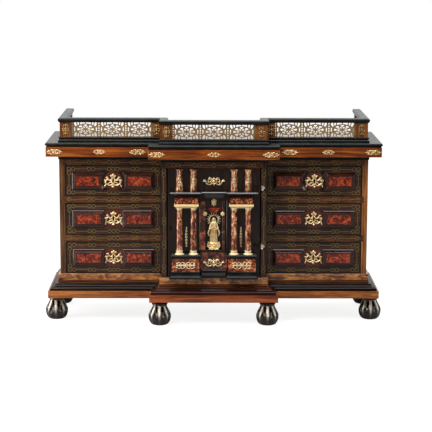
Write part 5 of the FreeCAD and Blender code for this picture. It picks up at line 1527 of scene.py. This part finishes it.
def inlay_tree():
    """A ring on each loose point and a flat strip along each edge, of one width and rise"""
    tree, given, result = new_tree("brass_inlay", [
        ("Ring Radius", "NodeSocketFloat"), ("Line Width", "NodeSocketFloat"), ("Rise", "NodeSocketFloat"),
        ("Metal", "NodeSocketMaterial")])
    section = add(tree, "GeometryNodeCurvePrimitiveQuadrilateral",
                  links={"Width": given["Line Width"], "Height": given["Rise"]}).outputs["Curve"]
    circle = add(tree, "GeometryNodeCurvePrimitiveCircle", {"Resolution": 22},
                 {"Radius": given["Ring Radius"]}).outputs["Curve"]
    ring = add(tree, "GeometryNodeCurveToMesh",
               links={"Curve": circle, "Profile Curve": section}).outputs["Mesh"]
    neighbours = add(tree, "GeometryNodeInputMeshVertexNeighbors").outputs["Vertex Count"]
    loose = combined(tree, "LESS_THAN", neighbours, 0.5)
    laid = add(tree, "GeometryNodeInstanceOnPoints",
               links={"Points": given["Geometry"], "Selection": loose, "Instance": ring}).outputs["Instances"]
    edges = add(tree, "GeometryNodeMeshToCurve", links={"Mesh": given["Geometry"]}).outputs["Curve"]
    strips = add(tree, "GeometryNodeCurveToMesh", {"Fill Caps": True},
                 {"Curve": edges, "Profile Curve": section}).outputs["Mesh"]
    end_tree(tree, joined_geometry(tree, laid, strips), given["Metal"], result)
    return tree


inlaid = inlay_tree()


def inlay(name, rings, lines, body):
    """Inlay from ring places and lines, each point given as x, face and z, in faces that look forward"""
    shapes = []
    for face in sorted({point[1] for point in rings}):
        points = [(x, z, 0.0) for x, own_face, z in rings if own_face == face]
        edges = []
        for start, stop in lines:
            if start[1] == face:
                points += [(start[0], start[2], 0.0), (stop[0], stop[2], 0.0)]
                edges.append((len(points) - 2, len(points) - 1))
        drawing = bpy.data.meshes.new(name)
        drawing.from_pydata(points, edges, [])
        flat = grown_by(inlaid, bpy.data.objects.new(name, drawing),
                        {"Ring Radius": 5.2, "Line Width": 1.5, "Rise": 0.4, "Metal": inlay_look})
        shapes.append(upright(flat, face))
    piece(name, joined(shapes), inlay_look, body)


def ring_row(x, face, z, groups):
    """A level row: groups of rings given by the places of their rings, with lines between the groups"""
    rings = [(x + place, face, z) for group in groups for place in group]
    lines = [((x + max(before) + line_gap, face, z), (x + min(after) - line_gap, face, z))
             for before, after in zip(groups, groups[1:])]
    return rings, lines


border_x = 132.0
border_inset = 10.0
drawer_groups = [(-border_x, ring_reach - border_x), (-72.0, -59.5), (-ring_reach, 0.0, ring_reach),
                 (59.5, 72.0), (border_x - ring_reach, border_x)]


def drawer_inlay(drawer):
    """A border round the drawer front, broken by rings at the corners and along its length"""
    low, high = box_mm(drawer + "_front")
    face = -wing_front
    x = (low.x + high.x) / 2
    rings, lines = [], []
    for z, way in ((low.z + border_inset, 1), (high.z - border_inset, -1)):
        row_rings, row_lines = ring_row(x, face, z, drawer_groups)
        rings += row_rings + [(x + side * border_x, face, z + way * ring_reach) for side in SIDES]
        lines += row_lines
    reach = border_inset + ring_reach + line_gap
    lines += [((x + side * border_x, face, low.z + reach), (x + side * border_x, face, high.z - reach))
              for side in SIDES]
    inlay(drawer + "_brass_inlay", rings, lines, drawer)


for drawer in drawer_names:
    drawer_inlay(drawer)


def case_inlay():
    """Rows of rings along the rails, and a line with rings up each stile beside the door"""
    rings, lines = [], []
    side_thickness, stile_inset = 16.5, 8.0
    wing_x = (half_centre + half_width - side_thickness) / 2
    low_rail_z, high_rail_z, top_rail_z = 249.0, 367.0, 479.0
    wing_groups = [(-border_x,)] + drawer_groups[1:4] + [(border_x,)]
    centre_groups = [(-118.0, -105.5), (-56.0, -43.5), (0.0,), (43.5, 56.0), (105.5, 118.0)]
    first, pitch = 168.0, 72.0
    heights = [first + pitch * step for step in range(5)]
    for side in SIDES:
        for z in (low_rail_z, high_rail_z, top_rail_z):
            row = ring_row(side * wing_x, -wing_front, z, wing_groups)
            rings += row[0]
            lines += row[1]
        x = side * (half_centre - stile_inset)
        rings += [(x, -centre_front, z + lift) for z in heights for lift in (-ring_reach / 2, ring_reach / 2)]
        lines += [((x, -centre_front, z + ring_reach), (x, -centre_front, z + pitch - ring_reach))
                  for z in heights[:-1]]
    row = ring_row(0.0, -centre_front, top_rail_z, centre_groups)
    inlay("rails_and_stiles_brass_inlay", rings + row[0], lines + row[1], "carcass")


case_inlay()


# Shell veneers of the door, in place of the plain blocks

def slip(x0, x1, thickness, z0, z1):
    """A flat slip on the door's face, with its front edges eased by hand"""
    y = door_face - thickness
    rings = [[(x0, door_face, z), (x0, y + 0.5, z), (x0 + 0.5, y, z), (x1 - 0.5, y, z), (x1, y + 0.5, z),
              (x1, door_face, z)] for z in (z0, z1)]
    return skinned(rings)


def door_veneers():
    """Turtle shell on the pedestals and over the columns, darker shell and a black strip round the niche"""
    shell_foot, shell_head = 366.0, 383.0
    orange = []
    for side in SIDES:
        for block_plan, z0, z1 in ((pedestal, die_z, cap_z), (entablature, shell_foot, shell_head)):
            section = [(-1.0, z0), (0.0, z0 + 0.5), (0.0, z1 - 0.5), (-1.0, z1), (-24.0, z1), (-24.0, z0)]
            orange.append(boxed(*block_plan, section, side))
    piece("door_pedestal_and_entablature_shell", joined(orange), pedestal_shell, "door",
          ["door_shell_blocks"])
    brown = [slip(-42.0, -25.0, 4.0, sill_z, niche_top), slip(25.0, 33.0, 4.0, sill_z, niche_top),
             slip(-40.0, 40.0, 4.0, 166.5, 219.0)]
    piece("door_niche_shell", joined(brown), dark_shell, "door")
    wedge = [[(x * share, door_face - depth, z) for x, z in ((-10.0, 338.0), (10.0, 338.0), (18.0, 352.0),
                                                            (-18.0, 352.0))]
             for share, depth in ((1.0, 0.0), (1.0, 4.2), (0.94, 5.0))]
    piece("door_niche_wedge", skinned(wedge), red_shell, "door")
    strip = skinned([[(x, door_face - depth, z) for x, depth in
                      ((33.6, 0.0), (33.6, 0.4), (39.4, 4.6), (41.2, 4.6), (42.0, 3.8), (42.0, 0.0))]
                     for z in (sill_z, niche_top)])
    piece("door_niche_black_strip", strip, ebony_look, "door", crease=20.0)


door_veneers()


def hinge_faces():
    """Lobed steel faces of the lift-off hinges, screwed over their leaves to the stile beside the door"""
    low, high = box_mm("hinge_plates_and_pins")
    lobes = smooth([(140.8, 0.4), (144.6, 0.0), (147.4, 2.2), (146.2, 5.2), (149.8, 6.2), (151.2, 8.6),
                    (149.2, 10.8), (146.0, 10.2), (147.0, 13.2), (144.4, 15.0), (140.8, 14.6)], 4)
    shapes = []
    for z in (low.z, high.z - 18.0):
        shapes.append(upright(moved(plate([lobes], 2.6), 0.0, z), -centre_front))
        for x, lift in ((143.4, 2.8), (143.4, 12.2), (148.2, 8.4)):
            shapes.append(moved(bead(0.0, 0.0, 1.5, 0.6), x, -centre_front - 2.6, z + lift))
    piece("hinge_faces", joined(shapes), steel_look, "carcass", crease=30.0, ease=0.5)


hinge_faces()


studio()
camera()
